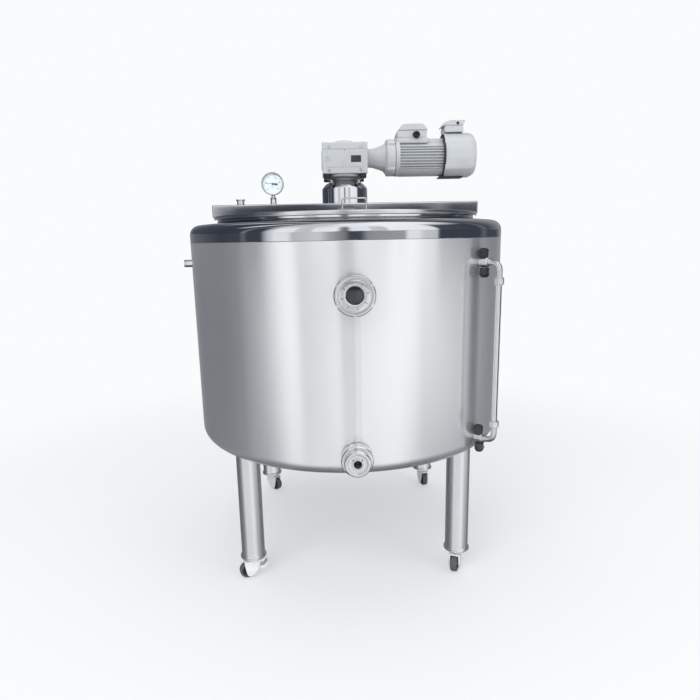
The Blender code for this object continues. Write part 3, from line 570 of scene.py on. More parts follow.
def handled_group():
    """Cloudy wipe marks and fine scratches for polished, enamelled or plated surfaces."""
    tree, source, sink = shader_group(
        "Handling marks",
        [("Vector", "NodeSocketVector", (0, 0, 0)), ("Colour", "NodeSocketColor", (0.7, 0.7, 0.7, 1)),
         ("Dirt", "NodeSocketColor", (0.3, 0.28, 0.25, 1)), ("Roughness", "NodeSocketFloat", 0.2),
         ("Marks", "NodeSocketFloat", 0.3), ("Texture", "NodeSocketFloat", 300.0)],
        [("Colour", "NodeSocketColor"), ("Roughness", "NodeSocketFloat"), ("Height", "NodeSocketFloat")])
    vector = source.outputs["Vector"]
    clouds = noise(tree, vector, 9.0, 6.0, 0.62)
    wipes = noise(tree, stretched(tree, vector, (14.0, 14.0, 70.0)), 1.0, 5.0, 0.6)
    peel = tree.nodes.new("ShaderNodeTexNoise")
    peel.inputs["Detail"].default_value = 2.0
    tree.links.new(vector, peel.inputs["Vector"])
    tree.links.new(source.outputs["Texture"], peel.inputs["Scale"])
    stain = tree.nodes.new("ShaderNodeMapRange")
    stain.inputs["From Min"].default_value = 0.52
    stain.inputs["From Max"].default_value = 0.80
    tree.links.new(clouds, stain.inputs["Value"])
    amount = math_node(tree, "MULTIPLY", stain.outputs["Result"], source.outputs["Marks"], clamp=True)
    mix = tree.nodes.new("ShaderNodeMix")
    mix.data_type = "RGBA"
    tree.links.new(amount, mix.inputs["Factor"])
    tree.links.new(source.outputs["Colour"], mix.inputs["A"])
    tree.links.new(source.outputs["Dirt"], mix.inputs["B"])
    spread = math_node(tree, "MULTIPLY_ADD", math_node(tree, "SUBTRACT", wipes, 0.45), 0.5,
                       math_node(tree, "MULTIPLY", stain.outputs["Result"], 0.6))
    rough = math_node(tree, "MULTIPLY_ADD", math_node(tree, "MULTIPLY", spread,
                                                      source.outputs["Marks"]), 0.5,
                      source.outputs["Roughness"], True)
    tree.links.new(mix.outputs["Result"], sink.inputs["Colour"])
    tree.links.new(rough, sink.inputs["Roughness"])
    tree.links.new(peel.outputs["Fac"], sink.inputs["Height"])
    return tree


GROUPS = {}


def group_of(kind):
    if kind not in GROUPS:
        GROUPS[kind] = {"handled": handled_group, "brushed": brushed_group}[kind]()
    return GROUPS[kind]


def new_material(name, metallic, bump, distance, **extra):
    """A material whose shader takes its colour, roughness and bump from a finish group."""
    mat = bpy.data.materials.new(name)
    mat.use_nodes = True
    tree = mat.node_tree
    shader = tree.nodes["Principled BSDF"]
    shader.inputs["Metallic"].default_value = metallic
    for label, value in extra.items():
        shader.inputs[label.replace("_", " ")].default_value = value
    place = tree.nodes.new("ShaderNodeTexCoord")
    relief = tree.nodes.new("ShaderNodeBump")
    relief.inputs["Strength"].default_value = bump
    relief.inputs["Distance"].default_value = distance
    tree.links.new(relief.outputs["Normal"], shader.inputs["Normal"])
    return mat, tree, shader, place.outputs["Object"], relief


def dress(tree, shader, vector, relief, kind, values):
    """Places a finish group in a material with the material's own values."""
    node = tree.nodes.new("ShaderNodeGroup")
    node.node_tree = group_of(kind)
    for label, value in values.items():
        node.inputs[label].default_value = value
    tree.links.new(vector, node.inputs["Vector"])
    tree.links.new(node.outputs["Colour"], shader.inputs["Base Color"])
    tree.links.new(node.outputs["Roughness"], shader.inputs["Roughness"])
    tree.links.new(node.outputs["Height"], relief.inputs["Height"])
    return node


def brushed(name, tone, roughness, grain, bump=0.05, **extra):
    mat, tree, shader, vector, relief = new_material(name, 1.0, bump, 0.0002, **extra)
    dress(tree, shader, vector, relief, "brushed",
          {"Colour": (*tone, 1), "Roughness": roughness, "Grain": grain})
    return mat


def handled(name, tone, roughness, marks, metallic=0.0, texture=300.0, bump=0.05, distance=0.0002,
            dirt=(0.25, 0.24, 0.22), **extra):
    mat, tree, shader, vector, relief = new_material(name, metallic, bump, distance, **extra)
    dress(tree, shader, vector, relief, "handled",
          {"Colour": (*tone, 1), "Dirt": (*dirt, 1), "Roughness": roughness, "Marks": marks,
           "Texture": texture})
    return mat


FINISH = {}
# Finishes of the hidden pieces that keep their own shape
INNER_FINISHES = {"foam_insulation": "foam", "jacket_wall": "vessel", "output_shaft": "satin",
                  "crown_gear": "satin", "bevel_pinion": "satin", "motor_rotor": "satin"}


def make_finishes(scene):
    tank = scene.milk_tank
    drive = scene.milk_tank_drive
    gear = scene.milk_tank_running_gear
    top = scene.milk_tank_top
    FINISH.update({
        "cladding": brushed("brushed_cladding", tank.steel, 0.235, tank.grain, 0.008,
                            Metallic=0.82, Anisotropic=0.80, Anisotropic_Rotation=0.25),
        "vessel": brushed("vessel_steel", (0.70, 0.705, 0.715), 0.20, 0.4),
        "satin": brushed("satin_steel", (0.64, 0.645, 0.655), 0.24, 0.6, 0.08),
        "mirror": handled("polished_steel", tank.mirror, 0.045, 0.06, 1.0, 25.0, 0.03, 0.0006),
        "fitting": handled("polished_fittings", (0.80, 0.805, 0.815), 0.15, 0.12, 0.94, 120.0, 0.05),
        "lid": handled("satin_lids", (0.78, 0.785, 0.80), 0.21, 0.12, 1.0, 120.0, 0.04),
        "pipe": handled("gauge_pipe_steel", (0.70, 0.71, 0.73), 0.22, 0.2, 0.92, 120.0, 0.05),
        "knob": handled("dark_cock_knobs", (0.014, 0.016, 0.020), 0.42, 0.25, 0.0, 300.0, 0.1),
        "guard": handled("gauge_guard_steel", (0.80, 0.81, 0.82), 0.20, 0.15, 1.0, 120.0, 0.05),
        "lever": handled("cock_lever_steel", (0.45, 0.46, 0.47), 0.25, 0.3, 1.0, 300.0, 0.1),
        "leg": handled("leg_tube_steel", (0.80, 0.805, 0.815), 0.25, 0.08, 0.92, 180.0, 0.05),
        "cast": handled("cast_steel_fittings", (0.62, 0.625, 0.635), 0.24, 0.3, 1.0, 700.0, 0.25),
        "enamel": handled("grey_enamel", drive.enamel, 0.40, 0.30, 0.0, 900.0, 0.12, 0.0002,
                          (0.34, 0.34, 0.34), Coat_Weight=0.15),
        "enamel_cast": handled("grey_enamel_on_casting", drive.enamel, 0.46, 0.35, 0.0, 420.0, 0.30,
                               0.0004, (0.30, 0.30, 0.30)),
        "flange": handled("cast_flange", (0.36, 0.37, 0.385), 0.38, 0.35, 0.5, 420.0, 0.3, 0.0004,
                          (0.20, 0.20, 0.20)),
        # Dark iron of the fan's motor and wheel; the same colour is painted shade in the cowl's gap ring
        # and the outlet's bore
        "iron": handled("dark_iron", drive.iron, 0.42, 0.35, 0.3, 500.0, 0.25, 0.0003,
                        (0.10, 0.10, 0.10)),
        "rubber": handled("black_rubber", (0.018, 0.018, 0.019), 0.62, 0.4, 0.0, 900.0, 0.15, 0.0002,
                          (0.06, 0.06, 0.06)),
        "zinc": handled("zinc_plate", gear.zinc, 0.34, 0.18, 0.08, 260.0, 0.05, 0.0002,
                        (0.45, 0.44, 0.42)),
        "tread": handled("grey_tread", gear.tread, 0.55, 0.45, 0.0, 600.0, 0.20, 0.0003,
                         (0.24, 0.23, 0.22)),
        "foam": handled("rigid_foam", (0.74, 0.64, 0.36), 0.90, 0.4, 0.0, 240.0, 0.6, 0.001,
                        (0.52, 0.40, 0.18)),
        "paper": handled("dial_paper", top.dial_paper, 0.55, 0.15, 0.0, 900.0, 0.03, 0.0001,
                         (0.70, 0.70, 0.62)),
        "print": handled("dial_print_ink", (0.16, 0.20, 0.26), 0.5, 0.1, 0.0, 900.0, 0.02, 0.0001),
        "ink": handled("dial_ink", (0.02, 0.022, 0.03), 0.5, 0.1, 0.0, 900.0, 0.02, 0.0001),
        "plate": handled("bare_nameplate", (0.055, 0.058, 0.065), 0.35, 0.3, 0.7, 900.0, 0.10, 0.0001,
                         (0.16, 0.16, 0.17)),
        "glass": clear_glass("clear_glass", (0.93, 0.96, 0.96)),
        "dark_glass": handled("dark_sight_glass", (0.030, 0.036, 0.042), 0.05, 0.15, 0.0, 20.0, 0.02,
                              0.0002, (0.09, 0.10, 0.11), Coat_Weight=0.5),
    })


def clear_glass(name, tone):
    """Glass with a few wipe marks in its roughness."""
    mat, tree, shader, vector, relief = new_material(name, 0.0, 0.02, 0.0002, IOR=1.47,
                                                     Transmission_Weight=1.0)
    dress(tree, shader, vector, relief, "handled",
          {"Colour": (*tone, 1), "Dirt": (0.80, 0.83, 0.82, 1), "Roughness": 0.01, "Marks": 0.08,
           "Texture": 40.0})
    return mat


# ---- tank --------------------------------------------------------------------------------
def bar_tool(start, end, radius, steps=48):
    """A plain round cutter between two points."""
    bm = bmesh.new()
    start = Vector(start)
    end = Vector(end)
    revolve(bm, [(0.0, (end - start).length), (radius, (end - start).length), (radius, 0.0), (0.0, 0.0)],
            steps, about(end - start, start), closed=False)
    return to_mesh(bm, "bar_tool")


def wall_tools(outer):
    return [bar_tool((0, -0.40, SIGHT_Z), (0, -outer, SIGHT_Z), 0.0353),
            bar_tool((0, -0.40, OUTLET_Z), (0, -outer, OUTLET_Z), 0.0273)]


def weld_ring(bm, radius, z, bead, steps, place=Matrix()):
    """A slightly raised circular weld bead."""
    revolve(bm, [(radius + bead * math.cos(t * math.pi / 4), z + bead * math.sin(t * math.pi / 4))
                 for t in range(8)], steps, place)


def make_cladding(settings):
    steps = settings.facets
    centre = (TANK_R - TANK_ROUND, TANK_BOTTOM + TANK_ROUND)
    corner = arc(*centre, TANK_ROUND, 0, -90, 10)
    inner = arc(*centre, TANK_ROUND - SHEET, -90, 0, 10)
    bm = bmesh.new()
    revolve(bm, [(TANK_R - 0.0006, SEAM_Z - 0.0003), (TANK_R, SEAM_Z - 0.0012)] + corner
            + [(0.0, TANK_BOTTOM), (0.0, TANK_BOTTOM + SHEET)] + inner
            + [(TANK_R - SHEET, SEAM_Z - 0.0003)], steps, closed=True)
    mesh = carved(to_mesh(bm, "cladding"), wall_tools(0.56))
    finish_piece("cladding", mesh, "cladding", "tank", ["outer_shell"], 30)


def make_collar(settings):
    round_centre = (0.508, 1.128)
    outer = arc(*round_centre, 0.032, 84, 0, 14)
    inner = arc(*round_centre, 0.029, 0, 84, 14)
    bm = bmesh.new()
    lip = rounded([(0.432, 1.1845, 0.0012), (0.446, 1.1845, 0.003), (0.446, 1.166, 0.006), outer[0]],
                  0.001, 5, closed=False)
    tail = rounded([inner[-1], (0.443, 1.163, 0.003), (0.443, 1.1815, 0.001), (0.432, 1.1815, 0.0012)],
                   0.001, 3, closed=False)
    revolve(bm, [tuple(p) for p in lip] + outer[1:] + [(TANK_R, 1.1272),
                                                      (TANK_R, SEAM_Z + 0.0007),
                                                      (TANK_R - 0.0005, SEAM_Z),
                                                      (TANK_R - 0.003, SEAM_Z)]
            + inner[:-1] + [tuple(p) for p in tail], settings.facets)
    piece_from(bm, "polished_collar", "mirror", "tank", ["top_collar"], 35)


def make_beads(settings):
    """Weld beads on the cladding: round the collar seam and down the back."""
    bm = bmesh.new()
    weld_ring(bm, 0.446, 1.1655, settings.seam_bead, settings.facets)
    back = [(0.0, TANK_R - 0.0002, z) for z in (TANK_BOTTOM + 0.042, 0.75, SEAM_Z - 0.003)]
    sweep(bm, back, settings.seam_bead * 0.7, 8)
    piece_from(bm, "weld_beads", "satin", "tank")


def make_vessel(settings):
    bm = bmesh.new()
    wall = 0.003
    r = 0.4426
    revolve(bm, [(0.0, 0.461), (r - wall - 0.012, 0.461), (r - wall - 0.0035, 0.4645),
                 (r - wall, 0.473), (r - wall, 1.1812), (r, 1.1812), (r, 0.470), (r - 0.004, 0.462),
                 (r - 0.012, 0.458), (0.0, 0.458)], settings.facets, closed=False)
    mesh = carved(to_mesh(bm, "vessel"), wall_tools(0.47))
    finish_piece("milk_vessel", mesh, "vessel", "tank", ["inner_vessel"], 40)


# ---- bridge, lids and bridge fittings ------------------------------------------------------
def make_bridge(settings):
    bm = bmesh.new()
    half_x = BRIDGE_HIGH.x
    low = BRIDGE_LOW.z
    soft = settings.edge
    box(bm, (-half_x, -BRIDGE_HALF_Y, low - 0.02), (half_x, BRIDGE_HALF_Y, BRIDGE_TOP), soft, 9)
    outer = to_mesh(bm, "bridge_outer")
    tool = bmesh.new()
    box(tool, (-half_x + SHEET, -BRIDGE_HALF_Y + SHEET, low - 0.05),
        (half_x - SHEET, BRIDGE_HALF_Y - SHEET, BRIDGE_TOP - SHEET), soft * 0.5, 3)
    trim = bmesh.new()
    box(trim, (-1, -1, low - 0.1), (1, 1, low))
    mesh = carved(outer, [to_mesh(tool, "bridge_hollow"), to_mesh(trim, "bridge_trim"),
                          bar_tool((0, 0, 1.2), (0, 0, 1.25), 0.0302),
                          bar_tool((VENT_X, 0, 1.2), (VENT_X, 0, 1.25), 0.0134)])
    bm = bmesh.new()
    merge(bm, mesh)
    for side in (-1, 1):
        inner = side * (BRIDGE_HALF_Y - 0.001)
        outer = side * 0.1035
        box(bm, (-0.440, min(inner, outer), low + 0.0001), (0.440, max(inner, outer), low + 0.0012),
            0.0004, 1)
        for x in (-0.2467, 0.2333):
            hinge_barrel(bm, x, side)
            tab = sorted((side * (BRIDGE_HALF_Y - 0.001), side * HINGE_Y))
            box(bm, (x, tab[0], HINGE_Z - 0.0062), (x + 0.014, tab[1], HINGE_Z + 0.0062), 0.0008, 2)
    piece_from(bm, "bridge", "mirror", "tank", ["bridge_beam"], 3)


def hinge_barrel(bm, x, side):
    ring(bm, [(0.00335, 0.014), (0.0065, 0.014), (0.0065, 0.0), (0.00335, 0.0)], 24,
         about((1, 0, 0), (x, side * HINGE_Y, HINGE_Z)), 0.0005, 2)


def make_lid(label, side, settings, facets):
    """Half-round lid with a turned-down rim, hinge knuckles and a wire handle."""
    bm = bmesh.new()
    revolve(bm, rounded([(0.0, LID_TOP), (0.300, LID_TOP, 0), (LID_R, LID_TOP, 0.003),
                         (LID_R, 1.176, 0.0006), (LID_R - 0.002, 1.176, 0.0006),
                         (LID_R - 0.002, LID_TOP - 0.003, 0.001), (0.0, LID_TOP - 0.003)], 0.001, 5,
                        closed=False), facets, closed=False)
    tool = bmesh.new()
    edge = side * 0.1045
    box(tool, (-0.6, min(edge, -side * 0.6), 1.1), (0.6, max(edge, -side * 0.6), 1.3))
    mesh = carved(to_mesh(bm, "lid"), [to_mesh(tool, "lid_half")])
    bm = bmesh.new()
    merge(bm, mesh)
    for x in (-0.261, 0.247):
        hinge_barrel(bm, x, side)
        reach = sorted((side * HINGE_Y, side * 0.128))
        box(bm, (x, reach[0], LID_TOP - 0.0015), (x + 0.014, reach[1], LID_TOP + 0.0045), 0.001, 2)
    y = side * 0.400
    r = settings.handle
    top = 1.222
    left, right = HANDLE_X
    path = bent_path([(left, y, LID_TOP - 0.001), (left, y, top), (right, y, top),
                      (right, y, LID_TOP - 0.001)], 0.008, 8)
    sweep(bm, path, r, 16)
    for x in HANDLE_X:
        weld_ring(bm, r + 0.0004, LID_TOP + 0.0004, 0.0011, 20, Matrix.Translation((x, y, 0)))
    name = f"{label}_lid"
    piece_from(bm, name, "lid", name, [f"lid_{label}"])


def make_hinge_rod(label, side):
    bm = bmesh.new()
    turned(bm, [(0.0, 0.550), (0.003, 0.550, 0.001), (0.003, 0.0, 0.001), (0.0, 0.0)], 20,
           about((1, 0, 0), (-0.275, side * HINGE_Y, HINGE_Z)))
    piece_from(bm, f"hinge_pin_{label}", "fitting", "tank",
               [f"hinge_rod_{label}"])


def make_vent():
    bm = bmesh.new()
    place = Matrix.Translation((VENT_X, 0, 0))
    ring(bm, [(0.0115, 1.250, 0.0008), (0.016, 1.250, 0.001), (0.016, 1.247, 0.0006),
              (0.0130, 1.245, 0.001), (0.0130, 1.205), (0.0115, 1.205)], 48, place)
    weld_ring(bm, 0.0132, BRIDGE_TOP + 0.0003, 0.0015, 40, place)
    piece_from(bm, "vent", "fitting", "tank", ["vent_stub"])


# ---- thermometer -------------------------------------------------------------------------
def make_thermometer(settings):
    face = Matrix.Translation(DIAL) @ UPRIGHT
    r = settings.dial
    bm = bmesh.new()
    turned(bm, [(0.0, 0.0466), (r - 0.003, 0.0466, 0), (r - 0.003, 0.0560, 0.0003),
                (r - 0.0012, 0.0560, 0.0006), (r, 0.0545, 0.001), (r, 0.0500, 0.0005),
                (r - 0.0010, 0.0492, 0.0004), (r - 0.0010, 0.030, 0.002), (r - 0.004, 0.026, 0.001),
                (0.0, 0.026)], 72, face)
    ring(bm, [(0.004, 0.026), (0.0085, 0.026), (0.0085, 0.020), (0.004, 0.020)], 32, face)
    piece_from(bm, "dial_case_polished", "pipe", "tank", ["dial_case"])
    bm = bmesh.new()
    turned(bm, [(0.0, 0.0474), (r - 0.0032, 0.0474, 0.0002), (r - 0.0032, 0.0467, 0), (0.0, 0.0467)],
           72, face)
    piece_from(bm, "dial_paper_disc", "paper", "tank")
    make_dial_print(face, r)
    bm = bmesh.new()
    turned(bm, [(0.0, 0.0549), (r - 0.0034, 0.0549, 0.0002), (r - 0.0034, 0.0536, 0.0002),
                (0.0, 0.0536)], 64, face)
    window = piece_from(bm, "dial_window", "glass", "tank")
    window.visible_shadow = False
    bm = bmesh.new()
    box(bm, (-0.026, -0.0005, 0.0487), (0.004, 0.0005, 0.0494), 0.0002, 1,
        face @ Matrix.Rotation(math.radians(-6), 4, "Z"))
    slab(bm, [(0.0, -0.0020), (0.017, -0.0026), (0.017, 0.0026), (0.0, 0.0020)], 0.0487, 0.0495,
         face @ Matrix.Rotation(math.radians(-6), 4, "Z"), 0.0002, 1)
    turned(bm, [(0.0, 0.0500), (0.0028, 0.0500, 0.0005), (0.0028, 0.0485), (0.0, 0.0485)], 24, face)
    piece_from(bm, "needle", "ink", "needle", ["dial_needle"])
    bm = bmesh.new()
    place = Matrix.Translation((DIAL.x, -0.041, 0))
    turned(bm, [(0.0, 1.2615), (0.0060, 1.2615, 0.001), (0.0068, 1.2530, 0.001), (0.0105, 1.2400, 0.002),
                (0.0112, 1.2275, 0.0006), (0.0042, 1.2272, 0), (0.0042, 0.803, 0.001), (0.0, 0.800)], 32,
           place)
    hexagon(bm, 0.0185, 1.2450, 1.2520, place)
    piece_from(bm, "thermometer_stem", "fitting", "tank",
               ["thermometer_probe"])


def make_dial_print(face, r):
    """Scale ring, ticks and plain numbers on the dial."""
    bm = bmesh.new()
    space = 270 / 50
    fine = bmesh.new()
    box(fine, (r * 0.80, -0.00012, 0.04745), (r * 0.86, 0.00012, 0.04760))
    around(bm, fine, 51, "ink", face, -45, space)
    bold = bmesh.new()
    box(bold, (r * 0.74, -0.00028, 0.04745), (r * 0.86, 0.00028, 0.04762))
    around(bm, bold, 11, "ink", face, -45, 5 * space)
    ring(bm, [(r * 0.86, 0.04760), (r * 0.872, 0.04760), (r * 0.872, 0.04745), (r * 0.86, 0.04745)], 96,
         face, 0.0, 1)
    for i in range(0, 11, 2):
        angle = math.radians(225 - 27 * i)
        words = bpy.data.curves.new("dial_number", "FONT")
        words.body = str(i * 10)
        words.size = 0.0062
        words.align_x = "CENTER"
        words.align_y = "CENTER"
        words.extrude = 0.00008
        words.resolution_u = 2
        holder = link(bpy.data.objects.new("dial_number", words))
        bpy.context.view_layer.update()
        mesh = bpy.data.meshes.new_from_object(
            holder.evaluated_get(bpy.context.evaluated_depsgraph_get()))
        bpy.data.objects.remove(holder, do_unlink=True)
        merge(bm, mesh, face @ Matrix.Translation((r * 0.60 * math.cos(angle), r * 0.60 * math.sin(angle),
                                                   0.04755)))
    piece_from(bm, "dial_print", "print", "tank")


# ---- drive -------------------------------------------------------------------------------
def make_lantern():
    bm = bmesh.new()
    ring(bm, [(0.030, 1.3005, 0.001), (0.054, 1.3005, 0.004), (0.0665, 1.2955, 0.012),
              (0.0795, 1.2800, 0.012), (0.0795, 1.2310, 0.001), (0.0800, 1.2305, 0.0008),
              (0.0800, 1.2273, 0), (0.0770, 1.2273, 0), (0.0770, 1.2790, 0.012), (0.0640, 1.2925, 0.012),
              (0.052, 1.2975, 0.003), (0.030, 1.2975, 0.001)], 96, radius=0.002, segments=6)
    piece_from(bm, "lantern", "mirror", "tank", ["lantern_stand"], 40)
    bm = bmesh.new()
    nut = bmesh.new()
    hexagon(nut, 0.013, 0.0, 0.009, Matrix.Translation((0, 0, 1.2975)))
    turned(nut, [(0.0, 1.2975), (0.0085, 1.2975, 0.0004), (0.0085, 1.2955), (0.0, 1.2955)], 24)
    at_corners(bm, nut, 0.094, 0.094, "cast")
    piece_from(bm, "lantern_nuts", "cast", "tank")


def make_flange():
    """Round output flange seen from below, with black pads under the gearbox's corners."""
    bm = bmesh.new()
    ring(bm, [(0.0170, 1.3245, 0), (0.0740, 1.3245, 0.001), (0.0740, 1.3165, 0.0015),
              (0.0560, 1.3125, 0.003), (0.0500, 1.3045, 0.003), (0.0450, 1.3035, 0.001),
              (0.0450, 1.3008, 0), (0.0170, 1.3008, 0)], 80)
    rib = bmesh.new()
    slab(rib, [(0.040, 1.3110), (0.046, 1.3050), (0.0700, 1.3160), (0.0700, 1.3200), (0.040, 1.3200)],
         -0.0018, 0.0018, UPRIGHT, 0.0006, 2)
    around(bm, rib, 8, "flange", start=22.5)
    piece_from(bm, "output_flange", "flange", "tank", ["drive_flange"])
    bm = bmesh.new()
    pad = bmesh.new()
    slab(pad, arc(0, 0, 0.0115, 0, 350, 28), 1.3098, 1.3247, Matrix(), 0.0035, 4)
    at_corners(bm, pad, 0.123, 0.123, "rubber")
    piece_from(bm, "gearbox_foot_pads", "rubber", "tank")


def make_gearbox():
    bm = bmesh.new()
    box(bm, (-0.0770, -0.0745, 1.3250), (0.0770, 0.0745, 1.4012), 0.0035, 4)
    box(bm, (-0.0750, -0.0725, 1.3980), (0.0750, 0.0725, 1.4060), 0.0020, 2)
    box(bm, (-0.0770, -0.0745, 1.4026), (0.0770, 0.0745, BOX_TOP), 0.0035, 4)
    for side in (-1, 1):
        y = sorted((side * 0.0725, side * 0.0758))
        box(bm, (-0.0600, y[0], 1.3455), (0.0610, y[1], 1.3985), 0.0012, 2)
        box(bm, (0.0645, y[0], 1.3300), (0.0700, y[1], 1.4205), 0.0012, 2)
    ring(bm, [(0.030, 0.0800), (0.0335, 0.0800, 0.001), (0.0410, 0.0775, 0.001), (0.0410, 0.0740),
              (0.030, 0.0740)], 48, about((1, 0, 0), (0, 0, MOTOR_Z)))
    turned(bm, [(0.0, 0.0795), (0.0300, 0.0795, 0.0015), (0.0320, 0.0765, 0.001), (0.0320, 0.074),
                (0.0, 0.074)], 48, about((-1, 0, 0), (0, 0, MOTOR_Z - 0.006)))
    piece_from(bm, "gearbox_case", "enamel_cast", "tank", ["gearbox_housing"], 10)
    bm = bmesh.new()
    top = BOX_TOP + 0.0003
    ring(bm, [(0.0155, 1.4402, 0.0003), (0.0205, 1.4396, 0.001), (0.0310, 1.4374, 0.006),
              (0.0385, 1.4335, 0.004), (0.0420, 1.4300, 0.001), (0.0420, top, 0), (0.0155, top, 0)], 72)
    turned(bm, [(0.0, 1.4394), (0.0158, 1.4394, 0.0006), (0.0158, top), (0.0, top)], 48)
    piece_from(bm, "gearbox_dome", "enamel_cast", "tank", ["gearbox_cap"])


def make_gearbox_screws():
    """Screws in the sides: bare below, painted over above, with a painted drain plug."""
    bare = bmesh.new()
    painted = bmesh.new()
    for side in (-1, 1):
        for bm, z in ((bare, 1.3365), (painted, 1.4125)):
            for x in (-0.0535, 0.0535):
                cap_screw(bm, 0.0046, 0.0030, about((0, side, 0), (x, side * 0.0744, z)))
        drain = about((0, side, 0), (-0.055, side * 0.0752, 1.3735))
        ring(painted, [(0.0055, 0.0018), (0.0082, 0.0018, 0.0006), (0.0082, 0.0), (0.0055, 0.0)], 32,
             drain)
        hexagon(painted, 0.0085, 0.0, 0.0022, drain)
        turned(bare, [(0.0, 0.0020), (0.0026, 0.0020, 0.0005), (0.0026, 0.0), (0.0, 0.0)], 16,
               about((0, side, 0), (0.0, side * 0.0735, 1.4010)))
    top = bmesh.new()
    cap_screw(top, 0.0044, 0.0026, Matrix.Translation((0.0, 0.0, BOX_TOP - 0.0002)))
    at_corners(painted, top, 0.128, 0.122, "enamel")
    piece_from(painted, "painted_screws", "enamel", "tank")
    piece_from(bare, "gearbox_screws", "cast", "tank")
    bm = bmesh.new()
    box(bm, (0.0205, -0.0767, 1.3610), (0.0545, -0.0757, 1.3830), 0.0004, 2)
    piece_from(bm, "bare_nameplate", "plate", "tank")


def make_agitator():
    bm = bmesh.new()
    ring(bm, [(0.0153, 1.236, 0.001), (0.045, 1.236, 0.002), (0.045, 1.2273, 0),
              (0.0297, 1.2273, 0), (0.0297, 1.212, 0.001), (0.0153, 1.212, 0.001)], 64)
    piece_from(bm, "lip_seal", "rubber", "tank", ["shaft_seal"])
    bm = bmesh.new()
    turned(bm, [(0.0, 1.2657), (0.015, 1.2657, 0.0005), (0.015, 0.595, 0.0005), (0.012, 0.592, 0.001),
                (0.0, 0.592)], 48)
    piece_from(bm, "agitator_rod", "vessel", "agitator", ["agitator_shaft"])
    bm = bmesh.new()
    ring(bm, [(0.0153, 1.290, 0.0006), (0.027, 1.290, 0.0015), (0.027, 1.244, 0.0015),
              (0.0153, 1.244, 0.0006)], 48)
    screw = bmesh.new()
    cap_screw(screw, 0.0030, 0.0016, about((1, 0, 0), (0.0266, 0, 1.256)))
    cap_screw(screw, 0.0030, 0.0016, about((1, 0, 0), (0.0266, 0, 1.278)))
    around(bm, screw, 4, "satin")
    piece_from(bm, "clamp_coupling", "satin", "agitator", ["shaft_coupling"])
    bm = bmesh.new()
    ring(bm, [(0.0153, 0.660, 0.0006), (0.0262, 0.660, 0.002), (0.0262, 0.602, 0.002),
              (0.0153, 0.602, 0.0006)], 48)
    blade = bmesh.new()
    outline = [(0.021, -0.026), (0.060, -0.034)] + arc(0.215, -0.010, 0.025, -90, 0, 6) + arc(
        0.215, 0.010, 0.025, 0, 90, 6) + [(0.060, 0.034), (0.021, 0.026)]
    slab(blade, outline, -0.0025, 0.0025,
         Matrix.Translation((0, 0, 0.631)) @ Matrix.Rotation(math.radians(45), 4, "X"), 0.0008, 2)
    around(bm, blade, 2, "vessel")
    piece_from(bm, "pitched_paddle", "vessel", "agitator", ["agitator_paddle"])


def make_motor(settings):
    axis = about((1, 0, 0), (0, 0, MOTOR_Z))
    bm = bmesh.new()
    ring(bm, [(0.0125, 0.1747), (0.0615, 0.1747, 0.001), (0.0615, 0.1475, 0.002), (0.0560, 0.1440, 0.002),
              (0.0470, 0.1415, 0.004), (0.0395, 0.1230, 0.02), (0.0320, 0.0980, 0.01),
              (0.0300, 0.0773, 0), (0.0125, 0.0773, 0)], 72, axis, 0.001, 5)
    rib = bmesh.new()
    slab(rib, [(0.0290, 0.0850), (0.0300, 0.0850), (0.0335, 0.1000), (0.0480, 0.1435), (0.0300, 0.1435)],
         -0.0016, 0.0016, UPRIGHT, 0.0006, 2)
    around(bm, rib, 4, "enamel", axis, 45)
    lug = bmesh.new()
    box(lug, (0.0520, -0.0085, 0.1475), (0.0665, 0.0085, 0.1745), 0.0028, 3)
    around(bm, lug, 4, "enamel", axis, 45)
    piece_from(bm, "motor_bell", "enamel_cast", "tank", ["motor_adapter"])
    bm = bmesh.new()
    bolt = bmesh.new()
    hexagon(bolt, 0.0090, 0.1420, 0.1476, Matrix.Translation((0.0585, 0, 0)))
    around(bm, bolt, 4, "cast", axis, 45)
    piece_from(bm, "motor_bolts", "cast", "tank")
    make_motor_frame(settings, axis)
    make_cowl(axis)


def make_motor_frame(settings, axis):
    """Finned frame: fins stand in each side's half, with smooth pads above and below."""
    bm = bmesh.new()
    inner = 0.0535
    ring(bm, [(0.0385, 0.3500), (inner, 0.3500, 0.001), (inner, 0.1750, 0.001), (0.0385, 0.1750)], 96,
         axis)
    ring(bm, [(0.0500, 0.1905), (0.0625, 0.1905, 0.002), (0.0625, 0.1765, 0.001), (0.0500, 0.1765)], 96,
         axis)
    fin = bmesh.new()
    tip = inner + settings.fin
    box(fin, (inner - 0.002, -0.0016, 0.1880), (tip, 0.0016, 0.3440), 0.0008, 2)
    low = -31
    high = 40
    for start in (low - 90, 90 - high):
        around(bm, fin.copy(), settings.fins, "enamel",
               about_motor() @ Matrix.Rotation(-math.pi / 2, 4, "Z"), start,
               (high - low) / (settings.fins - 1))
    fin.free()
    belly = arc(0, 0, 0.0632, -137, -43, 18)
    outline = belly + [(0.0400, -0.0380), (-0.0400, -0.0380)]
    slab(bm, outline, 0.1900, 0.3440, about_motor(), 0.0015, 2)
    box(bm, (0.1800, -0.0445, MOTOR_Z + 0.0425), (0.2880, 0.0445, MOTOR_Z + 0.0603), 0.003, 3)
    box(bm, (0.2850, -0.028, MOTOR_Z + 0.040), (0.3420, 0.028, MOTOR_Z + 0.0590), 0.003, 3)
    piece_from(bm, "finned_frame", "enamel", "tank", ["motor_frame"])
    # A dark ring in the gap between the frame and the cowl: painted shade in that gap. A thin dark strip
    # runs under the cowl.
    bm = bmesh.new()
    ring(bm, [(0.0480, 0.3462), (0.0715, 0.3462, 0.001), (0.0715, 0.3405, 0.001), (0.0480, 0.3405)], 72,
         axis)
    box(bm, (0.3310, -0.024, 1.3108), (0.4150, 0.024, 1.3150), 0.001, 2)
    piece_from(bm, "cowl_gap_shade_ring_and_strip", "iron", "tank")


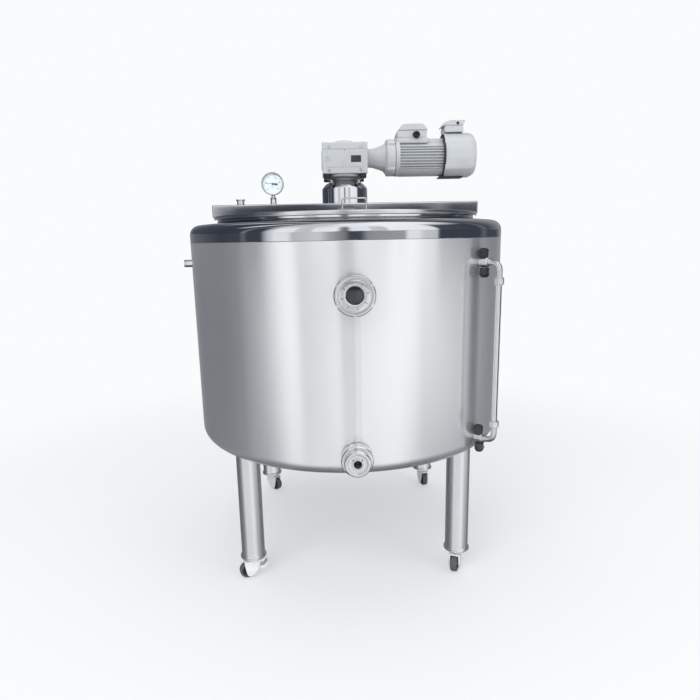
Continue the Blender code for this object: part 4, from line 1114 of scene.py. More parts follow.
def about_motor():
    """Cross-section plane of the motor: X is +Y, Y is +Z and Z runs along the motor's +X."""
    turn = Matrix(((0, 0, 1), (1, 0, 0), (0, 1, 0))).to_4x4()
    return Matrix.Translation((0, 0, MOTOR_Z)) @ turn


# Distance of the cowl's wall from its axis by the angle up from the horizontal, as a share
COWL_SECTION = ((-90, 0.925), (-70, 0.935), (-52, 0.965), (-37, 1.003), (-20, 0.925), (4, 0.885),
                (28, 0.925), (45, 1.008), (60, 1.030), (75, 1.055), (90, 1.065))


def cowl_share(angle):
    """The cowl's section at an angle, joined by straight lines and alike on both sides."""
    for (a, low), (b, high) in zip(COWL_SECTION, COWL_SECTION[1:]):
        if angle <= b + 1e-6:
            return low + (high - low) * max(0.0, (angle - a) / (b - a))
    return COWL_SECTION[-1][1]


def shape_cowl(bm):
    """Gives the round cowl its flat cheeks and raised top, leaving the grille round."""
    for vert in bm.verts:
        y = vert.co.y
        z = vert.co.z - MOTOR_Z
        reach = math.hypot(y, z)
        amount = min(1.0, max(0.0, (reach - 0.0560) / 0.0100))
        if amount > 0:
            share = 1 + (cowl_share(math.degrees(math.atan2(z, abs(y)))) - 1) * amount
            vert.co.y = y * share
            vert.co.z = MOTOR_Z + z * share


def make_cowl(axis):
    bm = bmesh.new()
    end = COWL_END
    ring(bm, [(0.0500, end, 0.001), (0.0600, end - 0.0015, 0.003), (0.0690, end - 0.0085, 0.008),
              (0.0745, end - 0.0200, 0.008), (0.0745, 0.3480, 0.0005), (0.0750, 0.3475, 0.0005),
              (0.0750, 0.3440, 0.0005), (0.0722, 0.3440, 0.0005), (0.0722, end - 0.0210, 0.008),
              (0.0670, end - 0.0105, 0.008), (0.0590, end - 0.0040, 0.003),
              (0.0500, end - 0.0025, 0.001)], 180, axis, 0.001, 6)
    shape_cowl(bm)
    for radius in (0.0200, 0.0275, 0.0350, 0.0425):
        ring(bm, [(radius, end), (radius + 0.0022, end, 0.0006), (radius + 0.0022, end - 0.002, 0.0006),
                  (radius, end - 0.002)], 64, axis, 0.0005, 2)
    spoke = bmesh.new()
    box(spoke, (0.0140, -0.0014, end - 0.0028), (0.0515, 0.0014, end - 0.001), 0.0004, 1)
    around(bm, spoke, 8, "enamel", axis)
    turned(bm, [(0.0, end), (0.0150, end, 0.0008), (0.0150, end - 0.0028), (0.0, end - 0.0028)], 40,
           axis)
    piece_from(bm, "ventilation_cowl", "enamel", "tank", ["fan_cowl"], 40)
    bm = bmesh.new()
    screw = bmesh.new()
    cap_screw(screw, 0.0036, 0.0016, about((1, 0, 0), (0.0752, 0, 0.3700)))
    for start in (-153, 42):
        around(bm, screw.copy(), 2, "enamel_cast", axis, start, 111)
    screw.free()
    piece_from(bm, "cowl_screws", "enamel_cast", "tank")
    bm = bmesh.new()
    turned(bm, [(0.0, 0.4400), (0.0250, 0.4400, 0.002), (0.0250, 0.3920, 0.002), (0.0050, 0.3910, 0.0003),
                (0.0050, 0.3620, 0.0005), (0.0, 0.3620)], 48, axis)
    piece_from(bm, "ventilator_motor", "iron", "tank", ["fan_motor"])
    bm = bmesh.new()
    ring(bm, [(0.0053, 0.386), (0.017, 0.386, 0.001), (0.017, 0.364, 0.001), (0.0053, 0.364)], 40, axis)
    blade = bmesh.new()
    slab(blade, [(0.0155, 0.3660), (0.0590, 0.3660), (0.0600, 0.3670), (0.0600, 0.3830), (0.0590, 0.3840),
                 (0.0155, 0.3840)], -0.0010, 0.0010, UPRIGHT, 0.0004, 1)
    around(bm, blade, 6, "iron", axis)
    piece_from(bm, "fan_wheel", "iron", "fan", ["cooling_fan"])


def make_terminal_boxes():
    bm = bmesh.new()
    body = [(0.1845, 1.4423), (0.2805, 1.4423), (0.2830, 1.4440), (0.2830, 1.4655), (0.1850, 1.4655),
            (0.1820, 1.4585), (0.1830, 1.4440)]
    slab(bm, body, -0.044, 0.044, UPRIGHT, 0.0015, 2)
    lid = [(0.1853, 1.4662), (0.1875, 1.4710), (0.1915, 1.4770), (0.1970, 1.4825), (0.2035, 1.4857),
           (0.2110, 1.4868), (0.2620, 1.4868), (0.2700, 1.4850), (0.2775, 1.4790), (0.2830, 1.4715),
           (0.2845, 1.4662)]
    slab(bm, lid, -0.0460, 0.0460, UPRIGHT, 0.0012, 2)
    for x in (0.208, 0.264):
        for y in (-0.034, 0.034):
            turned(bm, [(0.0, 0.0), (0.0040, 0.0, 0.0005), (0.0040, -0.0040), (0.0, -0.0040)], 20,
                   Matrix.Translation((x, y, 1.4877)))
    ring(bm, [(0.0118, 0.0462), (0.0150, 0.0462, 0.001), (0.0150, 0.0420), (0.0118, 0.0420)], 36,
         about((0, -1, 0), (0.246, 0, 1.4505)))
    piece_from(bm, "junction_box", "enamel", "tank", ["terminal_box"], 20)
    bm = bmesh.new()
    place = about((0, -1, 0), (0.246, 0, 1.4505))
    hexagon(bm, 0.0220, 0.0455, 0.0520, place, 0.006)
    ring(bm, [(0.0050, 0.0620, 0.0006), (0.0090, 0.0620, 0.002), (0.0112, 0.0560, 0.001),
              (0.0112, 0.0515), (0.0050, 0.0515)], 36, place)
    turned(bm, [(0.0, 0.0560), (0.0052, 0.0560), (0.0052, 0.0460), (0.0, 0.0460)], 24, place)
    piece_from(bm, "black_gland", "rubber", "tank", ["cable_gland"])
    bm = bmesh.new()
    base = [(0.3475, 1.4605), (0.4110, 1.4605), (0.4120, 1.4630), (0.4100, 1.4815), (0.3480, 1.4815),
            (0.3450, 1.4700)]
    slab(bm, base, -0.0340, 0.0340, UPRIGHT, 0.0018, 3)
    cover = [(0.3390, 1.4790), (0.3470, 1.4822), (0.4105, 1.4822), (0.4125, 1.4890), (0.4160, 1.4930),
             (0.4165, 1.4983), (0.3640, 1.4986), (0.3480, 1.4930), (0.3385, 1.4815)]
    slab(bm, cover, -0.0350, 0.0350, UPRIGHT, 0.0015, 3)
    piece_from(bm, "ventilator_box", "enamel", "tank", ["fan_terminal_box"], 14)
    bm = bmesh.new()
    plug = about((0, -1, 0), (0.3905, 0, 1.4885))
    turned(bm, [(0.0, 0.0385), (0.0046, 0.0385, 0.001), (0.0046, 0.0345), (0.0, 0.0345)], 28, plug)
    piece_from(bm, "ventilator_box_plug", "rubber", "tank")


# ---- wall fittings -----------------------------------------------------------------------
def slotted(profile, steps, place, count, width, reach, depth):
    """A union nut with spanner notches cut into its rim."""
    bm = bmesh.new()
    ring(bm, profile, steps, place, 0.0012, 3)
    body = to_mesh(bm, "nut")
    tools = bmesh.new()
    notch = bmesh.new()
    low, high = depth
    box(notch, (reach, -width / 2, low), (reach + 0.03, width / 2, high))
    around(tools, notch, count, "fitting", place, 30)
    return carved(body, [to_mesh(tools, "notches")])


def make_sight_port(settings):
    place = about((0, -1, 0), (0, 0, SIGHT_Z))
    bm = bmesh.new()
    ring(bm, [(0.033, 0.560), (0.043, 0.560, 0.0005), (0.043, 0.548, 0.001), (0.0353, 0.5465, 0.002),
              (0.0353, NOZZLE_END, 0.0005), (0.033, NOZZLE_END, 0.0005)], 64, place)
    weld_ring(bm, 0.0358, 0.5400, 0.0022, 64, place)
    piece_from(bm, "sight_nozzle", "fitting", "tank", ["sight_port_body"])
    bm = bmesh.new()
    turned(bm, [(0.0, 0.5683), (0.042, 0.5683, 0.0004), (0.042, 0.5603, 0.0004), (0.0, 0.5603)], 64,
           place)
    piece_from(bm, "sight_disc", "dark_glass", "tank", ["sight_glass"])
    mesh = slotted([(0.0245, 0.5835, 0.0008), (0.0270, 0.5850, 0.001), (0.0430, 0.5850, 0.001),
                    (0.0436, 0.5790, 0.0004), (0.0464, 0.5790, 0.0004), (0.0472, 0.5850, 0.001),
                    (0.0540, 0.5850, 0.002), (0.0570, 0.5815, 0.002), (0.0570, 0.5520, 0.001),
                    (0.0436, 0.5520, 0.0004), (0.0436, 0.5690, 0), (0.0245, 0.5690, 0.0005)], 96, place,
                   settings.notches, settings.notch, 0.0540, (0.545, 0.590))
    bm = bmesh.new()
    merge(bm, mesh)
    piece_from(bm, "sight_union_nut", "fitting", "tank",
               ["sight_port_nut"], 40)
    bm = bmesh.new()
    pip = bmesh.new()
    box(pip, (0.0305, -0.0013, 0.5846), (0.0395, 0.0013, 0.5858), 0.0004, 2)
    around(bm, pip, 8, "lever", place, 12)
    piece_from(bm, "sight_nut_pips", "lever", "tank")


def make_outlet(settings):
    place = about((0, -1, 0), (0, 0, OUTLET_Z))
    bm = bmesh.new()
    ring(bm, [(0.025, 0.562), (0.036, 0.562, 0.0005), (0.036, 0.552, 0.001), (0.0272, 0.5505, 0.001),
              (0.0272, NOZZLE_END, 0.0005), (0.025, NOZZLE_END, 0.0005)], 64, place)
    weld_ring(bm, 0.0280, 0.5400, 0.0022, 64, place)
    piece_from(bm, "outlet_tube", "fitting", "tank", ["outlet_nozzle"])
    mesh = slotted([(0.0368, 0.5750, 0.0005), (0.0435, 0.5750, 0.002), (0.0465, 0.5720, 0.002),
                    (0.0465, 0.5445, 0.001), (0.0275, 0.5445, 0.0005), (0.0275, 0.5512, 0),
                    (0.0368, 0.5512, 0)], 96, place, settings.notches - 2, settings.notch, 0.0438,
                   (0.540, 0.580))
    finish_piece("outlet_union_nut", mesh, "fitting", "tank",
                 ["outlet_nut"], 40)
    bm = bmesh.new()
    ring(bm, [(0.0118, 0.5960, 0.001), (0.0150, 0.5960, 0.001), (0.0165, 0.5935, 0.001),
              (0.0270, 0.5935, 0.001), (0.0290, 0.5970, 0.001), (0.0355, 0.5970, 0.002),
              (0.0385, 0.5940, 0.002), (0.0385, 0.5757, 0.0005), (0.0360, 0.5757, 0.0004),
              (0.0360, 0.5623, 0.0004), (0.0118, 0.5623, 0.0005)], 72, place)
    piece_from(bm, "outlet_plug_ring", "fitting", "tank", ["outlet_plug"],
               40)
    bm = bmesh.new()
    face = Matrix.Translation((0, 0, OUTLET_Z)) @ UPRIGHT
    for turn in (45, 135):
        box(bm, (0.0145, -0.0022, 0.5930), (0.0205, 0.0022, 0.5962), 0.0010, 2,
            face @ Matrix.Rotation(math.radians(turn), 4, "Z"))
    piece_from(bm, "outlet_dogs", "lever", "tank")
    # A dark disc deep in the plug's bore: painted shade
    bm = bmesh.new()
    turned(bm, [(0.0, 0.5660), (0.0116, 0.5660), (0.0116, 0.5640), (0.0, 0.5640)], 32, place)
    piece_from(bm, "outlet_bore_shade", "iron", "tank")


def make_side_stub():
    bm = bmesh.new()
    place = about((-1, 0, 0), (0, 0, STUB_Z))
    ring(bm, [(0.0110, 0.5800, 0.0004), (0.0130, 0.5800, 0.0005), (0.0130, 0.482), (0.0110, 0.482)], 40,
         place)
    for z in (0.5775, 0.5750, 0.5725, 0.5700):
        ring(bm, [(0.0125, z + 0.0011), (0.0135, z + 0.0005, 0.0002), (0.0125, z - 0.0003)], 40, place,
             0.0001, 1)
    weld_ring(bm, 0.0138, 0.5400, 0.0024, 40, place)
    piece_from(bm, "side_stub", "fitting", "tank", ["jacket_stub"])


def make_level_gauge():
    for label, z, way in (("upper", GAUGE_HIGH, -1), ("lower", GAUGE_LOW, 1)):
        make_gauge_cock(label, z, way)
    low = GAUGE_LOW + 0.063
    high = GAUGE_HIGH - 0.063
    centre = gauge_point(GAUGE_R, 0.0)
    bm = bmesh.new()
    ring(bm, [(0.0055, high), (0.0072, high), (0.0072, low), (0.0055, low)], 32,
         Matrix.Translation(centre), 0.0002, 1)
    piece_from(bm, "gauge_glass", "dark_glass", "tank")
    bm = bmesh.new()
    half = arc(0, 0, 0.0090, 24, 156, 18) + arc(0, 0, 0.0080, 156, 24, 18)
    for turn in (-55, 125):
        slab(bm, half, low - 0.004, high + 0.004,
             Matrix.Translation(centre) @ Matrix.Rotation(math.radians(turn), 4, "Z"))
    piece_from(bm, "gauge_guard", "guard", "tank", ["gauge_tube"],
               40)


def make_gauge_cock(label, z, way):
    """Threaded boss, cock body, bonnet, elbow and union of one end of the level gauge."""
    along = Vector((math.cos(GAUGE_ANGLE), math.sin(GAUGE_ANGLE), 0.0))
    bm = bmesh.new()
    path = bent_path([gauge_point(0.482, z), gauge_point(GAUGE_R, z),
                      gauge_point(GAUGE_R, z + way * 0.056)], 0.030, 12)
    sweep(bm, path, 0.0090, 24)
    out = about(along, (0, 0, z))
    weld_ring(bm, 0.0096, 0.5398, 0.0030, 32, out)
    ring(bm, [(0.0085, 0.5560), (0.0130, 0.5560, 0.001), (0.0130, 0.5460, 0.001), (0.0085, 0.5460)], 32,
         out)
    turned(bm, [(0.0, 0.5740), (0.0105, 0.5740, 0.001), (0.0145, 0.5700, 0.003), (0.0145, 0.5560, 0.003),
                (0.0105, 0.5500, 0.001), (0.0, 0.5500)], 32, out)
    hexagon(bm, 0.0225, 0.5735, 0.5810, out)
    upright = Matrix.Translation(gauge_point(0.561, 0.0))
    knobs = bmesh.new()
    turned(knobs, [(0.0, z - 0.0149), (0.0105, z - 0.0149, 0.0005), (0.0120, z - 0.0120, 0.001),
                   (0.0120, z), (0.0, z)], 32, upright)
    turned(knobs, [(0.0, z), (0.0095, z, 0), (0.0095, z + 0.0135, 0.001), (0.0135, z + 0.0145, 0.001),
                   (0.0148, z + 0.0360, 0.004), (0.0080, z + 0.0410, 0.002), (0.0, z + 0.0410)], 32,
           Matrix.Translation(gauge_point(0.5565, 0.0)))
    piece_from(knobs, f"cock_knobs_{label}", "knob", "tank")
    down = Matrix.Translation(gauge_point(GAUGE_R, 0.0))
    start, end = sorted((z + way * 0.046, z + way * 0.0630))
    hexagon(bm, 0.0255, start, end, down)
    start, end = sorted((z + way * 0.0435, z + way * 0.0475))
    turned(bm, [(0.0, end), (0.0120, end, 0.001), (0.0120, start, 0.001), (0.0, start)], 32, down)
    start, end = sorted((z + way * 0.0625, z + way * 0.0660))
    ring(bm, [(0.0092, end), (0.0125, end, 0.001), (0.0125, start, 0.001), (0.0092, start)], 32, down)
    piece_from(bm, f"gauge_cock_{label}", "pipe", "tank",
               [f"gauge_pipe_{label}"])
    bm = bmesh.new()
    low = z - 0.0150
    turned(bm, [(0.0, low - 0.0002), (0.0035, low - 0.0002), (0.0035, low - 0.012),
                (0.0, low - 0.012)], 24, upright)
    middle = gauge_point(0.561, low - 0.014)
    grip = bent_path([middle - along * 0.0138, middle + along * 0.006,
                      middle + along * 0.0178 + Vector((0, 0, 0.0006))], 0.01, 4)
    sweep(bm, grip, 0.0030, 16)
    piece_from(bm, f"cock_lever_{label}", "pipe", f"{label}_cock",
               [f"gauge_handle_{label}"])
    bm = bmesh.new()
    turned(bm, [(0.0, low - 0.0020), (0.0136, low - 0.0020, 0.001), (0.0145, low - 0.0220, 0.003),
                (0.0100, low - 0.0300, 0.002), (0.0, low - 0.0310)], 32, upright)
    piece_from(bm, f"cock_hub_{label}", "knob", f"{label}_cock")


# ---- legs and casters --------------------------------------------------------------------
def make_leg(label, sx, sy, facets):
    x = sx * LEG_XY
    y = sy * LEG_XY
    here = Matrix.Translation((x, y, 0))
    bm = bmesh.new()
    ring(bm, [(0.0380, 0.4750, 0), (0.0380, 0.0850, 0.003), (0.0400, 0.0815, 0.002),
              (0.0425, 0.0810, 0.0012), (0.0425, 0.0750, 0.0010), (0.0065, 0.0750, 0.0003),
              (0.0065, 0.0830, 0.0003), (0.0360, 0.0830, 0.0005), (0.0360, 0.4750, 0)], 64, here)
    tool = bmesh.new()
    corner = arc(TANK_R - TANK_ROUND, TANK_BOTTOM + TANK_ROUND, TANK_ROUND + 0.0001, 0, -90, 10)
    revolve(tool, [(0.0, 0.8), (TANK_R + 0.0001, 0.8)] + corner + [(0.0, TANK_BOTTOM - 0.0001)], facets,
            closed=False)
    mesh = carved(to_mesh(bm, "leg"), [to_mesh(tool, "tank_outline")])
    bm = bmesh.new()
    merge(bm, mesh)
    piece_from(bm, f"leg_tube_{label}", "leg", "tank", [f"leg_{label}"], 30)


def caster_place(label):
    """The caster's own frame: Z up through the swivel, X towards its trailing wheel."""
    low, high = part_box(f"caster_wheel_{label}")
    sx, sy = CORNERS[label]
    hub = (low + high) / 2 - Vector((sx * LEG_XY, sy * LEG_XY, 0))
    yaw = math.atan2(hub.y, hub.x)
    return Matrix.Translation((sx * LEG_XY, sy * LEG_XY, 0)) @ Matrix.Rotation(yaw, 4, "Z")


def make_caster(label):
    place = caster_place(label)
    side = place @ UPRIGHT
    bm = bmesh.new()
    turned(bm, [(0.0, 0.100), (0.0050, 0.100, 0.0005), (0.0058, 0.0990, 0.0005), (0.0058, 0.0747, 0.0002),
                (0.0218, 0.0747, 0.0006), (0.0240, 0.0725, 0.0010), (0.0240, 0.0690, 0.0006),
                (0.0225, 0.0680, 0.0004), (0.0238, 0.0668, 0.0006), (0.0238, 0.0640, 0.0012),
                (0.0195, 0.0595, 0.001), (0.0, 0.0595)], 56, place)
    cheek = [(-0.0165, 0.0620), (-0.0170, 0.0420), (-0.0090, 0.0240), (0.0060, 0.0105),
             (0.0130, 0.0075), (0.0210, 0.0080), (0.0270, 0.0140), (0.0310, 0.0320), (0.0340, 0.0520),
             (0.0340, 0.0620)]
    for low in (-0.0182, 0.0134):
        slab(bm, cheek, low, low + 0.0048, side, 0.0016, 3)
    slab(bm, [(-0.0160, 0.0580), (0.0330, 0.0580), (0.0348, 0.0600), (0.0330, 0.0624), (-0.0160, 0.0624)],
         -0.0176, 0.0176, side, 0.0012, 2)
    hub = side @ Matrix.Translation((0.0220, 0.0270, 0))
    turned(bm, [(0.0, 0.0180), (0.0040, 0.0180), (0.0040, -0.0180), (0.0, -0.0180)], 24, hub)
    hexagon(bm, 0.0105, 0.0180, 0.0200, hub)
    turned(bm, [(0.0, -0.0180), (0.0058, -0.0180, 0.0003), (0.0058, -0.0192, 0.001), (0.0, -0.0198)], 24,
           hub)
    piece_from(bm, f"fork_{label}_plate", "zinc", f"fork_{label}",
               [f"caster_fork_{label}"], 35)
    make_wheel(label, hub)
    if label.startswith("front"):
        make_pedal(label, side)


def make_wheel(label, hub):
    bm = bmesh.new()
    half = 0.0110
    ring(bm, [(0.0195, half - 0.0012, 0.0004), (0.0240, half, 0.0012), (0.0270, half - 0.0035, 0.0022),
              (0.0270, -half + 0.0035, 0.0022), (0.0240, -half, 0.0012), (0.0195, -half + 0.0012, 0.0004)],
         64, hub, 0.001, 4)
    piece_from(bm, f"tyre_{label}", "tread", f"wheel_{label}",
               [f"caster_wheel_{label}"], 40)
    bm = bmesh.new()
    ring(bm, [(0.0046, half, 0.0004), (0.0090, half, 0.0008), (0.0100, half - 0.0025, 0.0008),
              (0.0180, half - 0.0025, 0.0008), (0.0195, half - 0.0008, 0.0005),
              (0.0195, -half + 0.0008, 0.0005), (0.0180, -half + 0.0025, 0.0008),
              (0.0100, -half + 0.0025, 0.0008), (0.0090, -half, 0.0008), (0.0046, -half, 0.0004)], 56, hub)
    rib = bmesh.new()
    for low, high in ((half - 0.0030, half - 0.0012), (-half + 0.0012, -half + 0.0030)):
        box(rib, (0.0085, -0.0011, low), (0.0187, 0.0011, high), 0.0004, 1)
    around(bm, rib, 6, "tread", hub)
    piece_from(bm, f"rim_{label}", "rubber", f"wheel_{label}")


def make_pedal(label, side):
    """Bent brake pedal with an upturned toe."""
    bm = bmesh.new()
    outline = [(-0.0088, 0.0375), (-0.0088, 0.0268), (-0.0200, 0.0236), (-0.0330, 0.0240),
               (-0.0415, 0.0300), (-0.0450, 0.0400), (-0.0455, 0.0475), (-0.0425, 0.0482),
               (-0.0395, 0.0420), (-0.0340, 0.0355), (-0.0210, 0.0345)]
    slab(bm, outline, -0.0113, 0.0113, side, 0.0014, 3)
    piece_from(bm, f"pedal_{label}_plate", "zinc", f"pedal_{label}",
               [f"brake_pedal_{label}"], 35)


# ---- stage -------------------------------------------------------------------------------
CAMERA_AT = (-0.07638, -2.07336, 1.10881)
CAMERA_RIGHT = (0.9989785, -0.04089664, -0.01922028)
CAMERA_UP = (0.0273018, 0.20731614, 0.97789295)
PALE = (0.955, 0.965, 0.98)
SOFT_TONE = (0.96, 0.975, 1.0)
SOFT_LEVEL = 0.64
# Each lamp's name, place, aim, size and power
LAMPS = (("key", (-1.6, -3.0, 3.4), (0, 0, 0.9), (2.6, 2.2), 70.0),
         ("fill", (2.8, -2.2, 2.6), (0, 0, 0.9), (2.4, 2.4), 32.0),
         ("top", (0.0, 0.6, 4.2), (0, 0, 0.8), (3.2, 3.2), 46.0),
         ("low", (0.8, -3.2, 0.5), (0.2, 0, 1.3), (2.6, 0.9), 12.0))


def make_camera(settings):
    lens = bpy.data.cameras.new("view")
    lens.lens = settings.lens
    lens.sensor_width = 36.0
    lens.shift_x = 0.0028
    lens.shift_y = 0.0122
    camera = link(bpy.data.objects.new("view", lens))
    right = Vector(CAMERA_RIGHT)
    back = right.cross(Vector(CAMERA_UP)).normalized()
    up = back.cross(right).normalized()
    turn = Matrix((right, up, back)).transposed().to_4x4()
    camera.matrix_world = Matrix.Translation(CAMERA_AT) @ turn
    bpy.context.scene.camera = camera


def make_floor(settings):
    mesh = bpy.data.meshes.new("floor")
    reach = 14.0
    mesh.from_pydata([(-reach, -reach, 0), (reach, -reach, 0), (reach, reach, 0), (-reach, reach, 0)], [],
                     [(0, 1, 2, 3)])
    mat = bpy.data.materials.new("pale_floor")
    mat.use_nodes = True
    tree = mat.node_tree
    shader = tree.nodes["Principled BSDF"]
    shader.inputs["Roughness"].default_value = 0.8
    place = tree.nodes.new("ShaderNodeTexCoord")
    clouds = noise(tree, place.outputs["Object"], 1.6, 4.0, 0.55)
    mix = tree.nodes.new("ShaderNodeMix")
    mix.data_type = "RGBA"
    mix.inputs["A"].default_value = (*[c * 0.985 for c in settings.floor], 1)
    mix.inputs["B"].default_value = (*settings.floor, 1)
    tree.links.new(clouds, mix.inputs["Factor"])
    tree.links.new(mix.outputs["Result"], shader.inputs["Base Color"])
    distance = tree.nodes.new("ShaderNodeVectorMath")
    distance.operation = "LENGTH"
    tree.links.new(place.outputs["Object"], distance.inputs[0])
    fade = tree.nodes.new("ShaderNodeMapRange")
    fade.interpolation_type = "SMOOTHSTEP"
    for label, value in (("From Min", 0.9), ("From Max", 2.7), ("To Min", 0.45), ("To Max", 1.0)):
        fade.inputs[label].default_value = value
    tree.links.new(distance.outputs["Value"], fade.inputs["Value"])
    pale = tree.nodes.new("ShaderNodeEmission")
    pale.inputs["Color"].default_value = (*PALE, 1)
    path = tree.nodes.new("ShaderNodeLightPath")
    amount = math_node(tree, "MULTIPLY", fade.outputs["Result"], path.outputs["Is Camera Ray"])
    shown = by_ray(tree, amount, shader.outputs[0], pale.outputs[0])
    tree.links.new(shown, tree.nodes["Material Output"].inputs["Surface"])
    mesh.materials.append(mat)
    floor = link(bpy.data.objects.new("floor", mesh))
    floor.visible_glossy = False


def make_lamp(name, at, aim, size, power):
    data = bpy.data.lights.new(name, "AREA")
    data.shape = "RECTANGLE"
    data.size, data.size_y = size
    data.energy = power
    lamp = link(bpy.data.objects.new(name, data))
    lamp.location = at
    lamp.rotation_euler = (Vector(aim) - Vector(at)).to_track_quat("-Z", "Y").to_euler()
    lamp.visible_glossy = False


def graded(tree, value, stops):
    """Grey levels along a value, joined by straight lines."""
    ramp = tree.nodes.new("ShaderNodeValToRGB")
    points = ramp.color_ramp.elements
    while len(points) < len(stops):
        points.new(0.5)
    for element, (spot, level) in zip(points, stops):
        element.position = spot
        element.color = (level, level, level, 1)
    tree.links.new(value, ramp.inputs["Fac"])
    return ramp.outputs["Color"]


def multiplied(tree, a, b):
    both = tree.nodes.new("ShaderNodeMix")
    both.data_type = "RGBA"
    both.blend_type = "MULTIPLY"
    both.inputs["Factor"].default_value = 1.0
    tree.links.new(a, both.inputs["A"])
    tree.links.new(b, both.inputs["B"])
    return both.outputs["Result"]


def background(tree, tone, strength=1.0):
    """A background of one tone, or of a tone that comes from a socket."""
    node = tree.nodes.new("ShaderNodeBackground")
    node.inputs["Strength"].default_value = strength
    if isinstance(tone, tuple):
        node.inputs["Color"].default_value = (*tone, 1)
    else:
        tree.links.new(tone, node.inputs["Color"])
    return node.outputs[0]


def by_ray(tree, ray, first, second):
    """Shows the second shader to one kind of ray and the first to the others."""
    mix = tree.nodes.new("ShaderNodeMixShader")
    tree.links.new(ray, mix.inputs["Fac"])
    tree.links.new(first, mix.inputs[1])
    tree.links.new(second, mix.inputs[2])
    return mix.outputs[0]


# Grey levels of the room by azimuth in degrees: 0 is in front of the tank and 90 to its right
FLOOR_SIDE = ((-180, 0.40), (-140, 0.10), (-100, 0.04), (-84, 0.09), (-66, 0.43), (-54, 0.76),
              (-46, 1.02), (-38, 1.04), (-34, 0.60), (-28, 0.64), (-12, 0.84), (-8, 1.05),
              (-6, 0.60), (-3, 0.52), (-1, 0.72), (1, 0.52), (4, 0.62), (7, 1.05), (9, 0.88),
              (17, 0.98), (36, 1.08), (47, 1.0), (52, 0.80), (72, 0.76), (96, 0.52),
              (97.5, 0.0), (106, 0.0), (108, 0.34), (114, 0.22), (130, 0.14), (180, 0.40))
WALL_SIDE = ((-180, 0.40), (-140, 0.15), (-100, 0.06), (-80, 0.07), (-77, 0.16), (-73, 0.06),
             (-62, 0.06), (-57, 0.60), (-51, 0.95), (-42, 0.95), (-38, 0.60), (-20, 0.74), (-13, 0.44),
             (-3, 0.24), (1, 0.07), (8, 0.08), (13, 0.33), (38, 0.40), (41, 0.96), (49, 0.94),
             (53, 0.70), (63, 0.64), (65, 0.06), (105, 0.06), (112, 0.14), (118, 0.07), (135, 0.08),
             (150, 0.30), (180, 0.40))
BRIDGE_SIDE = ((-180, 0.30), (-100, 0.06), (-62, 0.08), (-56, 0.62), (-14, 0.66), (-10.3, 0.80),
               (-9.7, 0.05), (-2, 0.05), (3, 0.06), (4.5, 0.22), (6, 0.05), (10.5, 0.05), (11.5, 0.30),
               (12.5, 0.06), (15.5, 0.10), (17, 0.62), (62, 0.62), (65, 0.06), (105, 0.06),
               (150, 0.30), (180, 0.30))
UPPER_SIDE = ((-180, 0.30), (-145, 0.08), (-100, 0.05), (-80, 0.06), (-77, 0.25), (-73, 0.06),
              (-62, 0.06), (-57, 0.60), (-51, 1.0), (-38, 1.0), (-36, 0.70), (-26, 0.66), (-24, 1.0),
              (-8, 1.05), (-5, 0.30), (-1, 0.20), (2, 0.95), (14, 1.0), (16, 0.70), (26, 0.66), (28, 1.1),
              (52, 1.05), (62, 0.95), (66, 0.08), (105, 0.06), (112, 0.16), (118, 0.07), (150, 0.30),
              (180, 0.30))
OVERHEAD = ((-180, 0.06), (-152, 0.07), (-148, 0.90), (-143, 0.85), (-139, 0.20), (-135, 0.06),
            (-101, 0.06), (-97, 0.95), (-90, 0.95), (-87, 0.06), (-76, 0.08), (-68, 0.28), (-58, 0.62),
            (-20, 0.74), (-7, 1.0), (30, 1.12), (92, 1.10), (98, 0.95), (104, 0.35), (110, 0.06),
            (126, 0.12), (136, 0.25), (144, 0.18), (150, 0.07), (180, 0.06))
GROUND = ((-180, 0.25), (-120, 0.14), (-62, 0.20), (-44, 0.80), (-20, 0.90), (34, 0.95), (52, 0.40),
          (70, 0.20), (120, 0.14), (180, 0.25))
ZENITH = ((-180, 0.45), (180, 0.45))
# Where one band of the room gives way to the next, as the sine of the elevation
STOREYS = ((FLOOR_SIDE, -0.50, -0.30), (WALL_SIDE, -0.040, -0.008), (BRIDGE_SIDE, 0.026, 0.030),
           (UPPER_SIDE, 0.0575, 0.0595), (OVERHEAD, 0.55, 0.80), (ZENITH, 0.972, 0.992))
# Grey level below the horizon, as the sine of the elevation
BELOW = ((-1.0, 0.10), (-0.80, 0.16), (-0.66, 0.85), (-0.35, 1.0), (1.0, 1.0))

# Added to the room's grey, so that its dark parts look cool
COOL_AIR = (-0.010, 0.0, 0.018)


